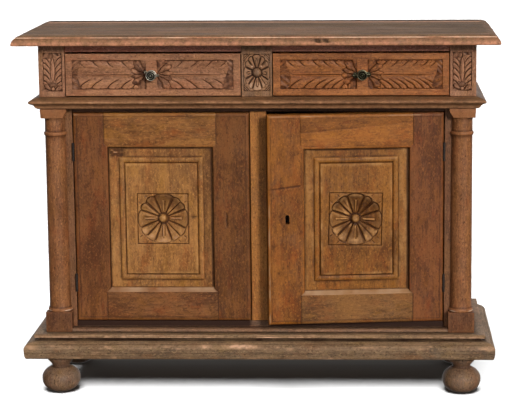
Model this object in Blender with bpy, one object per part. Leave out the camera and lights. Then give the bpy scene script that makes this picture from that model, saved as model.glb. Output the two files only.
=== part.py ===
"""Side cabinet in walnut: two carved drawers in the frieze, two panelled doors
between engaged half columns, moulded waist and base, four bun feet.
Metres, +Z up, front towards -Y, origin under the middle of the footprint."""

import math

import bmesh
import bpy
from mathutils import Vector

# ---------------------------------------------------------------- dimensions
GAP = 0.0003            # glue line and running clearance between touching pieces

TOP_HALF = 0.740        # half width of the top board
TOP_FRONT = -0.265
TOP_BACK = 0.265
TOP_Z0, TOP_Z1 = 1.111, 1.134

FACE_X = 0.670          # outer side of frieze blocks, capitals and plinths
FACE_Y = -0.194         # their front
WALL_X = 0.662          # outer side of the side panels
WALL_T = 0.022
CARCASS_BACK = 0.255
STILE_Y = -0.160        # front of the carcass stiles
STILE_BACK = -0.130

FRIEZE_Z0 = 0.9398
BLOCK_IN = 0.5895       # inner side of a corner block
CENTER_HALF = 0.0467
RAIL_Z0 = 1.0772
RAIL_Y = -0.186

DRAWER_X0, DRAWER_X1 = 0.0497, 0.5867
DRAWER_Z0, DRAWER_Z1 = 0.9430, 1.0722
DRAWER_FRONT = -0.196
DRAWER_FRONT_T = 0.022
DRAWER_SIDE_T = 0.012
DRAWER_BACK = 0.225
DRAWER_SIDE_Z0, DRAWER_SIDE_Z1 = 0.9402, 1.062
KNOB_X, KNOB_Z = 0.3225, 1.0068
LEAF_Z0, LEAF_Z1 = 0.9627, 1.0526          # sunk carved panels of a drawer
LEAF_OUT = (0.3390, 0.5670)
LEAF_IN = (0.0720, 0.3060)
SINK = 0.003

WAIST_Z0, WAIST_Z1 = 0.9032, 0.9395
WAIST_OUT = 0.030

COLUMN_X, COLUMN_Y = 0.629, -0.155
CAPITAL_Z0 = 0.8725
PLINTH_Z0, PLINTH_Z1 = 0.1965, 0.2603

STILE_IN = 0.576        # inner side of a carcass stile
CENTER_STILE_HALF = 0.025
HEAD_Z0 = 0.8893
SILL_Z1 = 0.2262
BEAD_Z1 = 0.2076

DOOR_X0, DOOR_X1 = 0.0275, 0.5725
DOOR_Z0, DOOR_Z1 = 0.2289, 0.8868
DOOR_FRONT, DOOR_BACK = -0.173, -0.143
OPEN_X0, OPEN_X1 = 0.1416, 0.4655
OPEN_Z0, OPEN_Z1 = 0.3329, 0.7785
BEVEL = 0.0125          # lit chamfer round the panel opening
BEVEL_DROP = 0.010
PANEL_Y, FIELD_Y, PANEL_BACK = -0.159, -0.167, -0.148
FIELD_X0, FIELD_X1 = 0.1910, 0.4137
FIELD_Z0, FIELD_Z1 = 0.3734, 0.7229
ROSETTE_X, ROSETTE_Z, ROSETTE_HALF = 0.2990, 0.5480, 0.0790
TONGUE = 0.007
TONGUE_Y0, TONGUE_Y1 = -0.1560, -0.1500

HINGE_X, HINGE_Y = 0.57425, -0.1655
HINGE_R, PIN_R = 0.0040, 0.0016
HINGE_HALF = 0.028
KNUCKLE_HALF = 0.0097
HINGE_Z = (0.3496, 0.7641)
LEAF_T = 0.0011
AJAR_RIGHT = math.radians(6.0)             # the right door stands a little open

KEYHOLE_X, KEYHOLE_Z = 0.0880, 0.5614
LOCK_X0, LOCK_X1 = 0.0300, 0.1250

BASE_Z0, BASE_Z1 = 0.1313, 0.1962
BASE_OUT, LEDGE_OUT, BASE_IN = 0.062, 0.033, -0.110
FOOT_X, FOOT_FRONT, FOOT_BACK = 0.633, -0.158, 0.165

# ------------------------------------------------------------------ materials
WALNUT = (0.190, 0.082, 0.034)
PALE = (0.260, 0.130, 0.055)
DARK = (0.095, 0.042, 0.020)
INNER = (0.300, 0.185, 0.095)
IRON = (0.060, 0.052, 0.042)
BRONZE = (0.230, 0.190, 0.120)


def material(name, colour, rough, metal):
    mat = bpy.data.materials.new("mat_" + name)
    mat.use_nodes = True
    shader = mat.node_tree.nodes["Principled BSDF"]
    shader.inputs["Base Color"].default_value = (*colour, 1.0)
    shader.inputs["Roughness"].default_value = rough
    shader.inputs["Metallic"].default_value = metal
    mat.diffuse_color = (*colour, 1.0)
    return mat


# -------------------------------------------------------------------- helpers
for old in list(bpy.data.objects):
    bpy.data.objects.remove(old, do_unlink=True)


def mesh_object(name, verts, faces, tidy=True):
    mesh = bpy.data.meshes.new(name)
    bm = bmesh.new()
    made = [bm.verts.new(v) for v in verts]
    for face in faces:
        bm.faces.new([made[i] for i in face])
    if tidy:
        bmesh.ops.recalc_face_normals(bm, faces=bm.faces)
    bm.to_mesh(mesh)
    bm.free()
    obj = bpy.data.objects.new(name, mesh)
    bpy.context.scene.collection.objects.link(obj)
    return obj


def box(name, x0, x1, y0, y1, z0, z1):
    x0, x1 = min(x0, x1), max(x0, x1)
    verts = [(x, y, z) for x in (x0, x1) for y in (y0, y1) for z in (z0, z1)]
    faces = [(0, 1, 3, 2), (4, 6, 7, 5), (0, 4, 5, 1), (2, 3, 7, 6), (0, 2, 6, 4), (1, 5, 7, 3)]
    return mesh_object(name, verts, faces)


def prism_y(name, outline, y0, y1):
    """Outline of (x, z) points carried from y0 (front) to y1."""
    n = len(outline)
    verts = [(x, y0, z) for x, z in outline] + [(x, y1, z) for x, z in outline]
    faces = [tuple(range(n)), tuple(range(2 * n - 1, n - 1, -1))]
    faces += [(i, (i + 1) % n, n + (i + 1) % n, n + i) for i in range(n)]
    return mesh_object(name, verts, faces)


def lathe(name, profile, cx, cy, steps=32, axis="Z"):
    """Profile of (radius, height) points whose ends lie on the axis."""
    verts, rings = [], []
    for r, h in profile:
        if r < 1e-9:
            rings.append([len(verts)])
            verts.append((0.0, 0.0, h))
        else:
            rings.append(list(range(len(verts), len(verts) + steps)))
            verts += [
                (r * math.cos(2 * math.pi * k / steps), r * math.sin(2 * math.pi * k / steps), h)
                for k in range(steps)
            ]
    faces = []
    for a, b in zip(rings, rings[1:]):
        for k in range(steps):
            m = (k + 1) % steps
            if len(a) == 1:
                faces.append((a[0], b[k], b[m]))
            elif len(b) == 1:
                faces.append((a[k], a[m], b[0]))
            else:
                faces.append((a[k], a[m], b[m], b[k]))
    if axis == "Y":      # height runs towards the front
        verts = [(x + cx, -h, y + cy) for x, y, h in verts]
    else:
        verts = [(x + cx, y + cy, h) for x, y, h in verts]
    return mesh_object(name, verts, faces)


def combine(obj, other, operation):
    mod = obj.modifiers.new("op", "BOOLEAN")
    mod.operation = operation
    mod.solver = "EXACT"
    mod.object = other
    bpy.context.view_layer.update()
    graph = bpy.context.evaluated_depsgraph_get()
    mesh = bpy.data.meshes.new_from_object(obj.evaluated_get(graph))
    obj.modifiers.clear()
    obj.data = mesh
    bpy.data.objects.remove(other, do_unlink=True)
    return obj


def union(obj, *others):
    for other in others:
        combine(obj, other, "UNION")
    return obj


def cut(obj, *others):
    for other in others:
        combine(obj, other, "DIFFERENCE")
    return obj


def mirrored(obj, name):
    """A copy reflected in the plane X = 0."""
    mesh = obj.data.copy()
    bm = bmesh.new()
    bm.from_mesh(mesh)
    for v in bm.verts:
        v.co.x = -v.co.x
    bmesh.ops.reverse_faces(bm, faces=bm.faces)
    bm.to_mesh(mesh)
    bm.free()
    mesh.name = name
    copy = bpy.data.objects.new(name, mesh)
    bpy.context.scene.collection.objects.link(copy)
    return copy


def finish(obj, colour, rough=0.5, metal=0.0, parent=None):
    obj.data.materials.clear()
    obj.data.materials.append(material(obj.name, colour, rough, metal))
    if parent is not None:
        here = Vector(parent["axis"])
        for v in obj.data.vertices:
            v.co -= here
        obj.parent = parent
    return obj


def axis_empty(name, point, turn=0.0):
    empty = bpy.data.objects.new(name, None)
    empty.location = point
    empty.rotation_euler = (0.0, 0.0, turn)
    empty["axis"] = point
    bpy.context.scene.collection.objects.link(empty)
    return empty


def pair(build, name, colour, rough=0.55, metal=0.0):
    """The right-hand piece as built, and its mirror image on the left."""
    right = build(name + "_right")
    left = mirrored(right, name + "_left")
    finish(right, colour, rough, metal)
    finish(left, colour, rough, metal)


# ------------------------------------------------------------------ top board
def top_profile():
    """(inset from the widest edge, height) of the moulded edge, top to bottom."""
    t = TOP_Z1 - TOP_Z0
    return [(0.022, t), (0.020, t - 0.003), (0.016, t - 0.004), (0.009, t - 0.008),
            (0.003, t - 0.014), (0.0, t - 0.019), (0.001, 0.002), (0.004, 0.0)]


def build_top():
    verts, rings = [], []
    for inset, h in top_profile():
        z = TOP_Z0 + h
        rings.append(len(verts))
        w = TOP_HALF - inset
        verts += [(-w, TOP_FRONT + inset, z), (w, TOP_FRONT + inset, z), (w, TOP_BACK, z), (-w, TOP_BACK, z)]
    faces = [(0, 1, 2, 3)]
    for a, b in zip(rings, rings[1:]):
        faces += [(a + k, a + (k + 1) % 4, b + (k + 1) % 4, b + k) for k in range(4)]
    last = rings[-1]
    faces.append((last + 3, last + 2, last + 1, last))
    return mesh_object("top_board", verts, faces)


finish(build_top(), (0.165, 0.100, 0.055), 0.5)


# --------------------------------------------------------------------- frieze
def leaf_outline(x0, x1, z0, z1, lobes=5):
    """Long leaf with rounded lobes, its stalk at x0 and its tip at x1."""
    mid, half, upper = (z0 + z1) / 2, (z1 - z0) / 2, []
    for i in range(lobes * 6 + 1):
        s = i / (lobes * 6)
        wide = half * (0.93 - 0.35 * s ** 2) * (0.78 + 0.22 * abs(math.sin(math.pi * lobes * s)))
        if i in (0, lobes * 6):
            wide *= 0.45
        upper.append((x0 + (x1 - x0) * s, wide))
    points = [(x, mid + w) for x, w in upper] + [(x, mid - w) for x, w in reversed(upper)]
    return points


def build_corner_block(name):
    block = box(name, BLOCK_IN, FACE_X, FACE_Y, STILE_BACK - GAP, FRIEZE_Z0, TOP_Z0 - GAP)
    cut(block, box("c", 0.5978, 0.6558, FACE_Y - 0.01, FACE_Y + SINK, 0.9564, 1.0747))
    leaf = [(0.6268 + w, z) for z, w in leaf_outline(0.960, 1.071, -0.0255, 0.0255, 4)]
    return union(block, prism_y("l", leaf, FACE_Y + 0.0004, FACE_Y + 0.006))


pair(build_corner_block, "frieze_block", WALNUT)


def build_center_block():
    block = box("frieze_block_center", -CENTER_HALF, CENTER_HALF, FACE_Y, STILE_BACK - GAP, FRIEZE_Z0, TOP_Z0 - GAP)
    cut(block, box("c", -1, 1, RAIL_Y - GAP, 0.2, RAIL_Z0 - GAP, 1.2))
    cut(block, box("c", -0.0405, 0.0405, FACE_Y - 0.01, FACE_Y + SINK, 0.9564, 1.0700))
    rose = []
    for k in range(64):
        a = 2 * math.pi * k / 64
        r = 0.90 + 0.10 * math.cos(8 * a)
        rose.append((0.037 * r * math.cos(a), 1.0132 + 0.053 * r * math.sin(a)))
    union(block, prism_y("r", rose, FACE_Y + 0.0004, FACE_Y + 0.006))
    boss = lathe("b", [(0, -(FACE_Y + 0.004)), (0.013, -(FACE_Y + 0.004)), (0.012, -FACE_Y + 0.0005),
                       (0.008, -FACE_Y + 0.003), (0, -FACE_Y + 0.004)], 0.0, 1.0132, 24, "Y")
    return union(block, boss)


finish(build_center_block(), WALNUT, 0.55)
finish(box("frieze_rail", -(BLOCK_IN - GAP), BLOCK_IN - GAP, RAIL_Y, RAIL_Y + 0.036, RAIL_Z0, TOP_Z0 - GAP), DARK, 0.6)
finish(box("drawer_divider", -0.009, 0.009, STILE_BACK + GAP, CARCASS_BACK - 0.0105, FRIEZE_Z0, TOP_Z0 - GAP), INNER, 0.7)


# -------------------------------------------------- mitred mouldings, any side
def front_moulding(name, profile, shoulder):
    """Profile of (projection, height); ends mitred at 45 degrees as far in as the shoulder."""
    inner = profile[0][0]
    if inner < shoulder:      # square behind the shoulder, mitred in front of it
        profile = [profile[0], (shoulder, profile[0][1]), *profile[1:-1], (shoulder, profile[-1][1]), profile[-1]]
    n = len(profile)
    verts = []
    for side in (-1, 1):
        for o, z in profile:
            verts.append((side * (FACE_X + max(o, shoulder)), FACE_Y - o, z))
    if inner < shoulder:
        faces = [tuple(range(1, n - 1)), (n - 1, 0, 1, n - 2)]
        faces += [tuple(n + k for k in reversed(face)) for face in list(faces)]
    else:
        faces = [tuple(range(n)), tuple(range(2 * n - 1, n - 1, -1))]
    faces += [(i, (i + 1) % n, n + (i + 1) % n, n + i) for i in range(n)]
    return mesh_object(name, verts, faces)


def side_moulding(name, profile, back):
    n = len(profile)
    verts = [(FACE_X + o, FACE_Y - o + 2 * GAP, z) for o, z in profile]
    verts += [(FACE_X + o, back, z) for o, z in profile]
    faces = [tuple(range(n)), tuple(range(2 * n - 1, n - 1, -1))]
    faces += [(i, (i + 1) % n, n + (i + 1) % n, n + i) for i in range(n)]
    return mesh_object(name, verts, faces)


def waist_profile(inner):
    z0, z1, o = WAIST_Z0, WAIST_Z1, WAIST_OUT
    return [(inner, z1), (0.001, z1), (o - 0.004, z1 - 0.0085), (o - 0.001, z1 - 0.0105), (o, z1 - 0.0140),
            (o - 0.001, z1 - 0.0175), (o - 0.005, z1 - 0.0195), (o - 0.011, z1 - 0.0225), (o - 0.017, z1 - 0.0275),
            (o - 0.020, z0 + 0.004), (o - 0.024, z0), (inner, z0)]


WALL_SHOULDER = WALL_X - FACE_X + GAP
finish(front_moulding("waist_front", waist_profile(FACE_Y - STILE_BACK - GAP + 2 * GAP), WALL_SHOULDER - GAP), WALNUT, 0.5)
pair(lambda name: side_moulding(name, waist_profile(WALL_SHOULDER), CARCASS_BACK), "waist", WALNUT, 0.5)

inside = WALL_X - WALL_T - GAP
finish(box("dust_board", -inside, inside, STILE_BACK + 3 * GAP, CARCASS_BACK - 0.0105, WAIST_Z1 - 0.017, WAIST_Z1), INNER, 0.7)

# -------------------------------------------------------------------- carcass
pair(lambda name: box(name, WALL_X - WALL_T, WALL_X, STILE_BACK + GAP, CARCASS_BACK, PLINTH_Z0, TOP_Z0 - GAP), "side_panel", WALNUT, 0.55)
finish(box("back_panel", -inside, inside, CARCASS_BACK - 0.010, CARCASS_BACK - 0.0005, PLINTH_Z0, TOP_Z0 - GAP), INNER, 0.75)
finish(box("bottom_board", -inside, inside, STILE_BACK + GAP, CARCASS_BACK - 0.0105, PLINTH_Z0, PLINTH_Z0 + 0.018), INNER, 0.7)


def build_front_stile(name):
    stile = box(name, STILE_IN, WALL_X - GAP, STILE_Y, STILE_BACK, PLINTH_Z0, WAIST_Z0 - GAP)
    return stile


pair(build_front_stile, "front_stile", WALNUT, 0.5)
finish(box("center_stile", -CENTER_STILE_HALF, CENTER_STILE_HALF, STILE_Y, STILE_Y + 0.021, SILL_Z1 + GAP, HEAD_Z0 - GAP), PALE, 0.5)
finish(box("head_rail", -(STILE_IN - GAP), STILE_IN - GAP, STILE_Y, STILE_BACK, HEAD_Z0, WAIST_Z0 - GAP), DARK, 0.6)


def build_sill():
    rail = box("sill_moulding", -(STILE_IN - GAP), STILE_IN - GAP, STILE_Y - 0.002, STILE_BACK, PLINTH_Z0, SILL_Z1)
    edge = [(FACE_Y + 0.003, PLINTH_Z0), (FACE_Y, PLINTH_Z0 + 0.003), (FACE_Y + 0.0005, BEAD_Z1 - 0.004),
            (FACE_Y + 0.003, BEAD_Z1 - 0.001), (FACE_Y + 0.007, BEAD_Z1), (STILE_Y - GAP, BEAD_Z1 + 0.0005), (STILE_Y - GAP, PLINTH_Z0)]
    n, half = len(edge), 0.5872
    verts = [(-half, y, z) for y, z in edge] + [(half, y, z) for y, z in edge]
    faces = [tuple(range(n)), tuple(range(2 * n - 1, n - 1, -1))]
    faces += [(i, (i + 1) % n, n + (i + 1) % n, n + i) for i in range(n)]
    return union(rail, mesh_object("bead", verts, faces))


finish(build_sill(), PALE, 0.5)


# -------------------------------------------------------------------- columns
def build_column(name):
    x, y = COLUMN_X, COLUMN_Y
    flat = STILE_Y - GAP
    top = WAIST_Z0 - GAP
    shaft = lathe(name, [
        (0, PLINTH_Z1 - 0.010), (0.0370, PLINTH_Z1 - 0.010), (0.0370, PLINTH_Z1 + 0.001), (0.0385, PLINTH_Z1 + 0.003),
        (0.0385, PLINTH_Z1 + 0.008), (0.0372, PLINTH_Z1 + 0.010), (0.0358, PLINTH_Z1 + 0.014), (0.0346, PLINTH_Z1 + 0.021),
        (0.0340, PLINTH_Z1 + 0.030), (0.0338, 0.45), (0.0334, 0.62), (0.0326, 0.78), (0.0325, 0.8155), (0.0340, 0.8166),
        (0.0362, 0.8190), (0.0368, 0.8227), (0.0362, 0.8264), (0.0340, 0.8288), (0.0325, 0.8300), (0.0325, 0.8715),
        (0.0345, CAPITAL_Z0 + 0.002), (0.0345, CAPITAL_Z0 + 0.012), (0, CAPITAL_Z0 + 0.012)], x, y, 36)
    plinth = box("p", x - 0.041, FACE_X, FACE_Y, flat, PLINTH_Z0, PLINTH_Z1)
    inner, front = x - 0.040, FACE_Y
    lo, hi = CAPITAL_Z0, top
    verts = [(inner + 0.011, front + 0.003, lo), (FACE_X - 0.001, front + 0.003, lo), (FACE_X - 0.001, flat, lo), (inner + 0.011, flat, lo),
             (inner, front, hi - 0.007), (FACE_X, front, hi - 0.007), (FACE_X, flat, hi - 0.007), (inner, flat, hi - 0.007),
             (inner, front, hi), (FACE_X, front, hi), (FACE_X, flat, hi), (inner, flat, hi)]
    faces = [(0, 3, 2, 1), (8, 9, 10, 11)]
    for a in (0, 4):
        faces += [(a + k, a + (k + 1) % 4, a + 4 + (k + 1) % 4, a + 4 + k) for k in range(4)]
    union(shaft, plinth, mesh_object("k", verts, faces))
    return cut(shaft, box("c", 0.4, 0.9, flat, 0.1, 0, 1.2))


pair(build_column, "column", WALNUT, 0.45)


# ----------------------------------------------------------------------- base
def base_profile():
    z0, z1, o = BASE_Z0, BASE_Z1, BASE_OUT
    return [(BASE_IN, z1), (LEDGE_OUT - 0.002, z1), (LEDGE_OUT, z1 - 0.002), (LEDGE_OUT, z1 - 0.0095), (LEDGE_OUT - 0.002, z1 - 0.0105),
            (LEDGE_OUT - 0.012, z1 - 0.0125), (LEDGE_OUT - 0.014, z1 - 0.0165), (LEDGE_OUT - 0.008, z1 - 0.0205), (LEDGE_OUT + 0.006, z1 - 0.0225),
            (o - 0.010, z1 - 0.0255), (o - 0.003, z1 - 0.0300), (o, z1 - 0.0360), (o - 0.001, z1 - 0.0410), (o - 0.0035, z1 - 0.0430),
            (o - 0.0035, z1 - 0.0448), (o - 0.001, z1 - 0.0460), (o, z1 - 0.0500), (o - 0.001, z0 + 0.006), (o - 0.004, z0 + 0.0015), (o - 0.008, z0), (BASE_IN, z0)]


finish(front_moulding("base_front", base_profile(), -1.0), PALE, 0.55)
pair(lambda name: side_moulding(name, base_profile(), CARCASS_BACK), "base", PALE, 0.55)


def build_foot(name, y):
    top = BASE_Z0 - GAP
    return lathe(name, [(0, 0), (0.025, 0), (0.036, 0.004), (0.047, 0.012), (0.0545, 0.024), (0.0575, 0.038), (0.0552, 0.052),
                        (0.0470, 0.0640), (0.0360, 0.0720), (0.0295, 0.0770), (0.0285, 0.0815), (0.0315, 0.0865), (0.0400, 0.0920),
                        (0.0470, 0.0975), (0.0500, 0.1030), (0.0500, top), (0, top)], FOOT_X, y, 36)


pair(lambda name: build_foot(name, FOOT_FRONT), "foot_front", WALNUT, 0.5)
pair(lambda name: build_foot(name, FOOT_BACK), "foot_back", WALNUT, 0.5)


# -------------------------------------------------------------------- drawers
def build_drawer_front(name):
    front = box(name, DRAWER_X0, DRAWER_X1, DRAWER_FRONT, DRAWER_FRONT + DRAWER_FRONT_T, DRAWER_Z0, DRAWER_Z1)
    for (a, b), flip in ((LEAF_IN, True), (LEAF_OUT, False)):
        cut(front, box("c", a, b, DRAWER_FRONT - 0.01, DRAWER_FRONT + SINK, LEAF_Z0, LEAF_Z1))
        leaf = leaf_outline(a + 0.004, b - 0.004, LEAF_Z0 + 0.003, LEAF_Z1 - 0.003)
        if flip:
            leaf = [(a + b - x, z) for x, z in leaf]
        union(front, prism_y("l", leaf, DRAWER_FRONT + 0.0004, DRAWER_FRONT + 0.006))
    # shank hole of the knob
    hole = lathe("h", [(0, -(DRAWER_FRONT - 0.01)), (0.0045, -(DRAWER_FRONT - 0.01)), (0.0045, -(DRAWER_FRONT + 0.05)), (0, -(DRAWER_FRONT + 0.05))], KNOB_X, KNOB_Z, 16, "Y")
    return cut(front, hole)


def build_knob(name):
    f = -DRAWER_FRONT
    return lathe(name, [(0, f - 0.018), (0.0041, f - 0.018), (0.0041, f + GAP), (0.0160, f + GAP), (0.0175, f + 0.0015), (0.0165, f + 0.0035),
                        (0.0100, f + 0.0050), (0.0065, f + 0.0075), (0.0060, f + 0.0130), (0.0090, f + 0.0165), (0.0140, f + 0.0185),
                        (0.0158, f + 0.0215), (0.0150, f + 0.0245), (0.0115, f + 0.0265), (0.0085, f + 0.0258), (0.0070, f + 0.0268),
                        (0.0040, f + 0.0290), (0, f + 0.0297)], KNOB_X, KNOB_Z, 24, "Y")


def drawer_pieces(side):
    behind = DRAWER_FRONT + DRAWER_FRONT_T + GAP
    x0, x1 = DRAWER_X0 + 0.0068, DRAWER_X1 - 0.0068
    t = DRAWER_SIDE_T
    pieces = {
        "front": (lambda n: build_drawer_front(n), WALNUT, 0.5, 0.0),
        "side_inner": (lambda n: box(n, x0, x0 + t, behind, DRAWER_BACK, DRAWER_SIDE_Z0, DRAWER_SIDE_Z1), INNER, 0.7, 0.0),
        "side_outer": (lambda n: box(n, x1 - t, x1, behind, DRAWER_BACK, DRAWER_SIDE_Z0, DRAWER_SIDE_Z1), INNER, 0.7, 0.0),
        "back": (lambda n: box(n, x0 + t + GAP, x1 - t - GAP, DRAWER_BACK - t, DRAWER_BACK, DRAWER_SIDE_Z0 + 0.010, DRAWER_SIDE_Z1), INNER, 0.7, 0.0),
        "bottom": (lambda n: box(n, x0 + t + GAP, x1 - t - GAP, behind, DRAWER_BACK - t - GAP, DRAWER_SIDE_Z0 + 0.006, DRAWER_SIDE_Z0 + 0.013), INNER, 0.75, 0.0),
        "knob": (lambda n: build_knob(n), BRONZE, 0.4, 1.0),
    }
    middle = (DRAWER_X0 + DRAWER_X1) / 2 * (1 if side == "right" else -1)
    slide = axis_empty(f"drawer_{side}_slide", (middle, DRAWER_FRONT, DRAWER_Z0))
    for key, (build, colour, rough, metal) in pieces.items():
        name = f"drawer_{side}_{key}"
        obj = build(name if side == "right" else "tmp_" + name)
        if side == "left":
            other = mirrored(obj, name)
            bpy.data.objects.remove(obj, do_unlink=True)
            obj = other
        finish(obj, colour, rough, metal, slide)


drawer_pieces("left")
drawer_pieces("right")


# ---------------------------------------------------------------------- doors
def door_member(name, flat, lip):
    """flat: front outline (x, z); lip: four points of the chamfer, the first two on the flat's edge and the last two on the opening."""
    # the chamfer lies between the two flat points that it shares
    i = flat.index(lip[0])
    j = flat.index(lip[1])
    n = len(flat)
    assert (i + 1) % n == j
    loop = [flat[(j + k) % n] for k in range(n)] + [lip[3], lip[2]]
    m = len(loop)
    depth = [DOOR_FRONT] * n + [DOOR_FRONT + BEVEL_DROP] * 2
    verts = [(x, depth[k], z) for k, (x, z) in enumerate(loop)] + [(x, DOOR_BACK, z) for x, z in loop]
    faces = [tuple(range(n)), (n - 1, n, n + 1, 0), tuple(range(2 * m - 1, m - 1, -1))]
    faces += [(k, (k + 1) % m, m + (k + 1) % m, m + k) for k in range(m)]
    member = mesh_object(name, verts, faces)
    groove = box("g", OPEN_X0 - TONGUE - 0.001, OPEN_X1 + TONGUE + 0.001, TONGUE_Y0 - GAP, TONGUE_Y1 + GAP, OPEN_Z0 - TONGUE - 0.001, OPEN_Z1 + TONGUE + 0.001)
    return cut(member, groove)


JOINT_X0, JOINT_X1 = OPEN_X0 - BEVEL, OPEN_X1 + BEVEL
JOINT_Z0, JOINT_Z1 = OPEN_Z0 - BEVEL, OPEN_Z1 + BEVEL


def build_hinge_stile(name):
    stile = door_member(name, [(DOOR_X1, DOOR_Z0), (DOOR_X1, DOOR_Z1), (JOINT_X1, DOOR_Z1), (JOINT_X1, JOINT_Z1), (JOINT_X1, JOINT_Z0), (JOINT_X1, DOOR_Z0)],
                        [(JOINT_X1, JOINT_Z1), (JOINT_X1, JOINT_Z0), (OPEN_X1, OPEN_Z0), (OPEN_X1, OPEN_Z1)])
    for z in HINGE_Z:
        cut(stile, box("n", HINGE_X - 0.0048, DOOR_X1 + 0.01, DOOR_FRONT - 0.01, HINGE_Y + 0.0055, z - HINGE_HALF - 0.001, z + HINGE_HALF + 0.001))
    return stile


def build_meeting_stile(name):
    stile = door_member(name, [(DOOR_X0, DOOR_Z1), (DOOR_X0, DOOR_Z0), (JOINT_X0, DOOR_Z0), (JOINT_X0, JOINT_Z0), (JOINT_X0, JOINT_Z1), (JOINT_X0, DOOR_Z1)],
                        [(JOINT_X0, JOINT_Z0), (JOINT_X0, JOINT_Z1), (OPEN_X0, OPEN_Z1), (OPEN_X0, OPEN_Z0)])
    return stile


def build_rail(name, top):
    a, b = JOINT_X0 + GAP, JOINT_X1 - GAP
    c, d = OPEN_X0 + GAP, OPEN_X1 - GAP
    if top:
        return door_member(name, [(b, JOINT_Z1), (b, DOOR_Z1), (a, DOOR_Z1), (a, JOINT_Z1)],
                           [(a, JOINT_Z1), (b, JOINT_Z1), (d, OPEN_Z1), (c, OPEN_Z1)])
    return door_member(name, [(a, JOINT_Z0), (a, DOOR_Z0), (b, DOOR_Z0), (b, JOINT_Z0)],
                       [(b, JOINT_Z0), (a, JOINT_Z0), (c, OPEN_Z0), (d, OPEN_Z0)])


def build_panel(name):
    slab = box(name, OPEN_X0 - TONGUE, OPEN_X1 + TONGUE, TONGUE_Y0, TONGUE_Y1, OPEN_Z0 - TONGUE, OPEN_Z1 + TONGUE)
    g = 2 * GAP
    body = box("b", OPEN_X0 + g, OPEN_X1 - g, PANEL_Y, PANEL_BACK, OPEN_Z0 + g, OPEN_Z1 - g)
    step = 0.016
    bead = box("s", FIELD_X0 - step, FIELD_X1 + step, PANEL_Y - 0.003, PANEL_BACK - 0.002, FIELD_Z0 - step, FIELD_Z1 + step)
    field = box("f", FIELD_X0, FIELD_X1, FIELD_Y, PANEL_BACK - 0.003, FIELD_Z0, FIELD_Z1)
    union(slab, body, bead, field)
    h = ROSETTE_HALF
    cut(slab, box("c", ROSETTE_X - h, ROSETTE_X + h, FIELD_Y - 0.01, FIELD_Y + SINK, ROSETTE_Z - h, ROSETTE_Z + h))
    rose = []
    for k in range(96):
        a = 2 * math.pi * k / 96
        r = (h - 0.003) * (0.90 + 0.10 * math.cos(8 * a))
        rose.append((ROSETTE_X + r * math.cos(a), ROSETTE_Z + r * math.sin(a)))
    union(slab, prism_y("r", rose, FIELD_Y + 0.0006, FIELD_Y + 0.006))
    f = -FIELD_Y
    boss = lathe("k", [(0, f - 0.004), (0.017, f - 0.004), (0.0165, f + 0.001), (0.0125, f + 0.0035), (0.006, f + 0.005), (0, f + 0.0054)], ROSETTE_X, ROSETTE_Z, 24, "Y")
    return union(slab, boss)


def leaf_plate(name, x0, x1, z_mid, owns_middle):
    """One half of a butt hinge. owns_middle: the half on the door, with the middle knuckle."""
    plate = box(name, x0, x1, HINGE_Y + 0.0005, HINGE_Y + 0.0215, z_mid - HINGE_HALF, z_mid + HINGE_HALF)
    clear = HINGE_R + 0.0006
    k = KNUCKLE_HALF + GAP

    def barrel(label, r, lo, hi):
        return lathe(label, [(0, lo), (r, lo), (r, hi), (0, hi)], HINGE_X, HINGE_Y, 20)

    if owns_middle:
        for lo, hi in ((z_mid - HINGE_HALF - 0.01, z_mid - KNUCKLE_HALF), (z_mid + KNUCKLE_HALF, z_mid + HINGE_HALF + 0.01)):
            cut(plate, box("c", x0 - 0.01, x1 + 0.01, HINGE_Y - 0.01, HINGE_Y + clear, lo, hi))
        union(plate, barrel("m", HINGE_R, z_mid - KNUCKLE_HALF, z_mid + KNUCKLE_HALF))
        return cut(plate, barrel("h", PIN_R + 0.0001, z_mid - 0.05, z_mid + 0.05))
    cut(plate, box("c", x0 - 0.01, x1 + 0.01, HINGE_Y - 0.01, HINGE_Y + clear, z_mid - k, z_mid + k))
    return union(plate, barrel("l", HINGE_R, z_mid - HINGE_HALF, z_mid - k), barrel("u", HINGE_R, z_mid + k, z_mid + HINGE_HALF),
                 barrel("p", PIN_R, z_mid - HINGE_HALF + 0.002, z_mid + HINGE_HALF - 0.002))


def build_frame_leaf(name, z):
    return leaf_plate(name, STILE_IN - GAP - LEAF_T, STILE_IN - GAP, z, False)


def build_door_leaf(name, z):
    return leaf_plate(name, DOOR_X1 + GAP, DOOR_X1 + GAP + LEAF_T, z, True)


for label, height in zip(("lower", "upper"), HINGE_Z):
    pair(lambda name, z=height: build_frame_leaf(name, z), f"hinge_frame_leaf_{label}", IRON, 0.5, 0.9)


def keyhole_cutter():
    f = -DOOR_FRONT
    eye = lathe("e", [(0, f - 0.08), (0.0048, f - 0.08), (0.0048, f + 0.02), (0, f + 0.02)], KEYHOLE_X, KEYHOLE_Z + 0.007, 20, "Y")
    slot = box("s", KEYHOLE_X - 0.0026, KEYHOLE_X + 0.0026, DOOR_FRONT - 0.02, DOOR_FRONT + 0.08, KEYHOLE_Z - 0.0130, KEYHOLE_Z + 0.006)
    return union(eye, slot)


def build_lock_case(name):
    z = KEYHOLE_Z
    case = box(name, LOCK_X0, LOCK_X1, DOOR_BACK + GAP, DOOR_BACK + 0.020, z - 0.045, z + 0.045)
    # channel of the bolt, open at the meeting edge
    cut(case, box("c", LOCK_X0 - 0.01, LOCK_X0 + 0.055, DOOR_BACK + 0.0060, DOOR_BACK + 0.0165, z + 0.0180, z + 0.0360))
    return cut(case, keyhole_cutter())


def build_lock_bolt(name):
    z = KEYHOLE_Z
    return box(name, LOCK_X0 + 0.0005, LOCK_X0 + 0.040, DOOR_BACK + 0.0068, DOOR_BACK + 0.0157, z + 0.0188, z + 0.0352)


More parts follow.
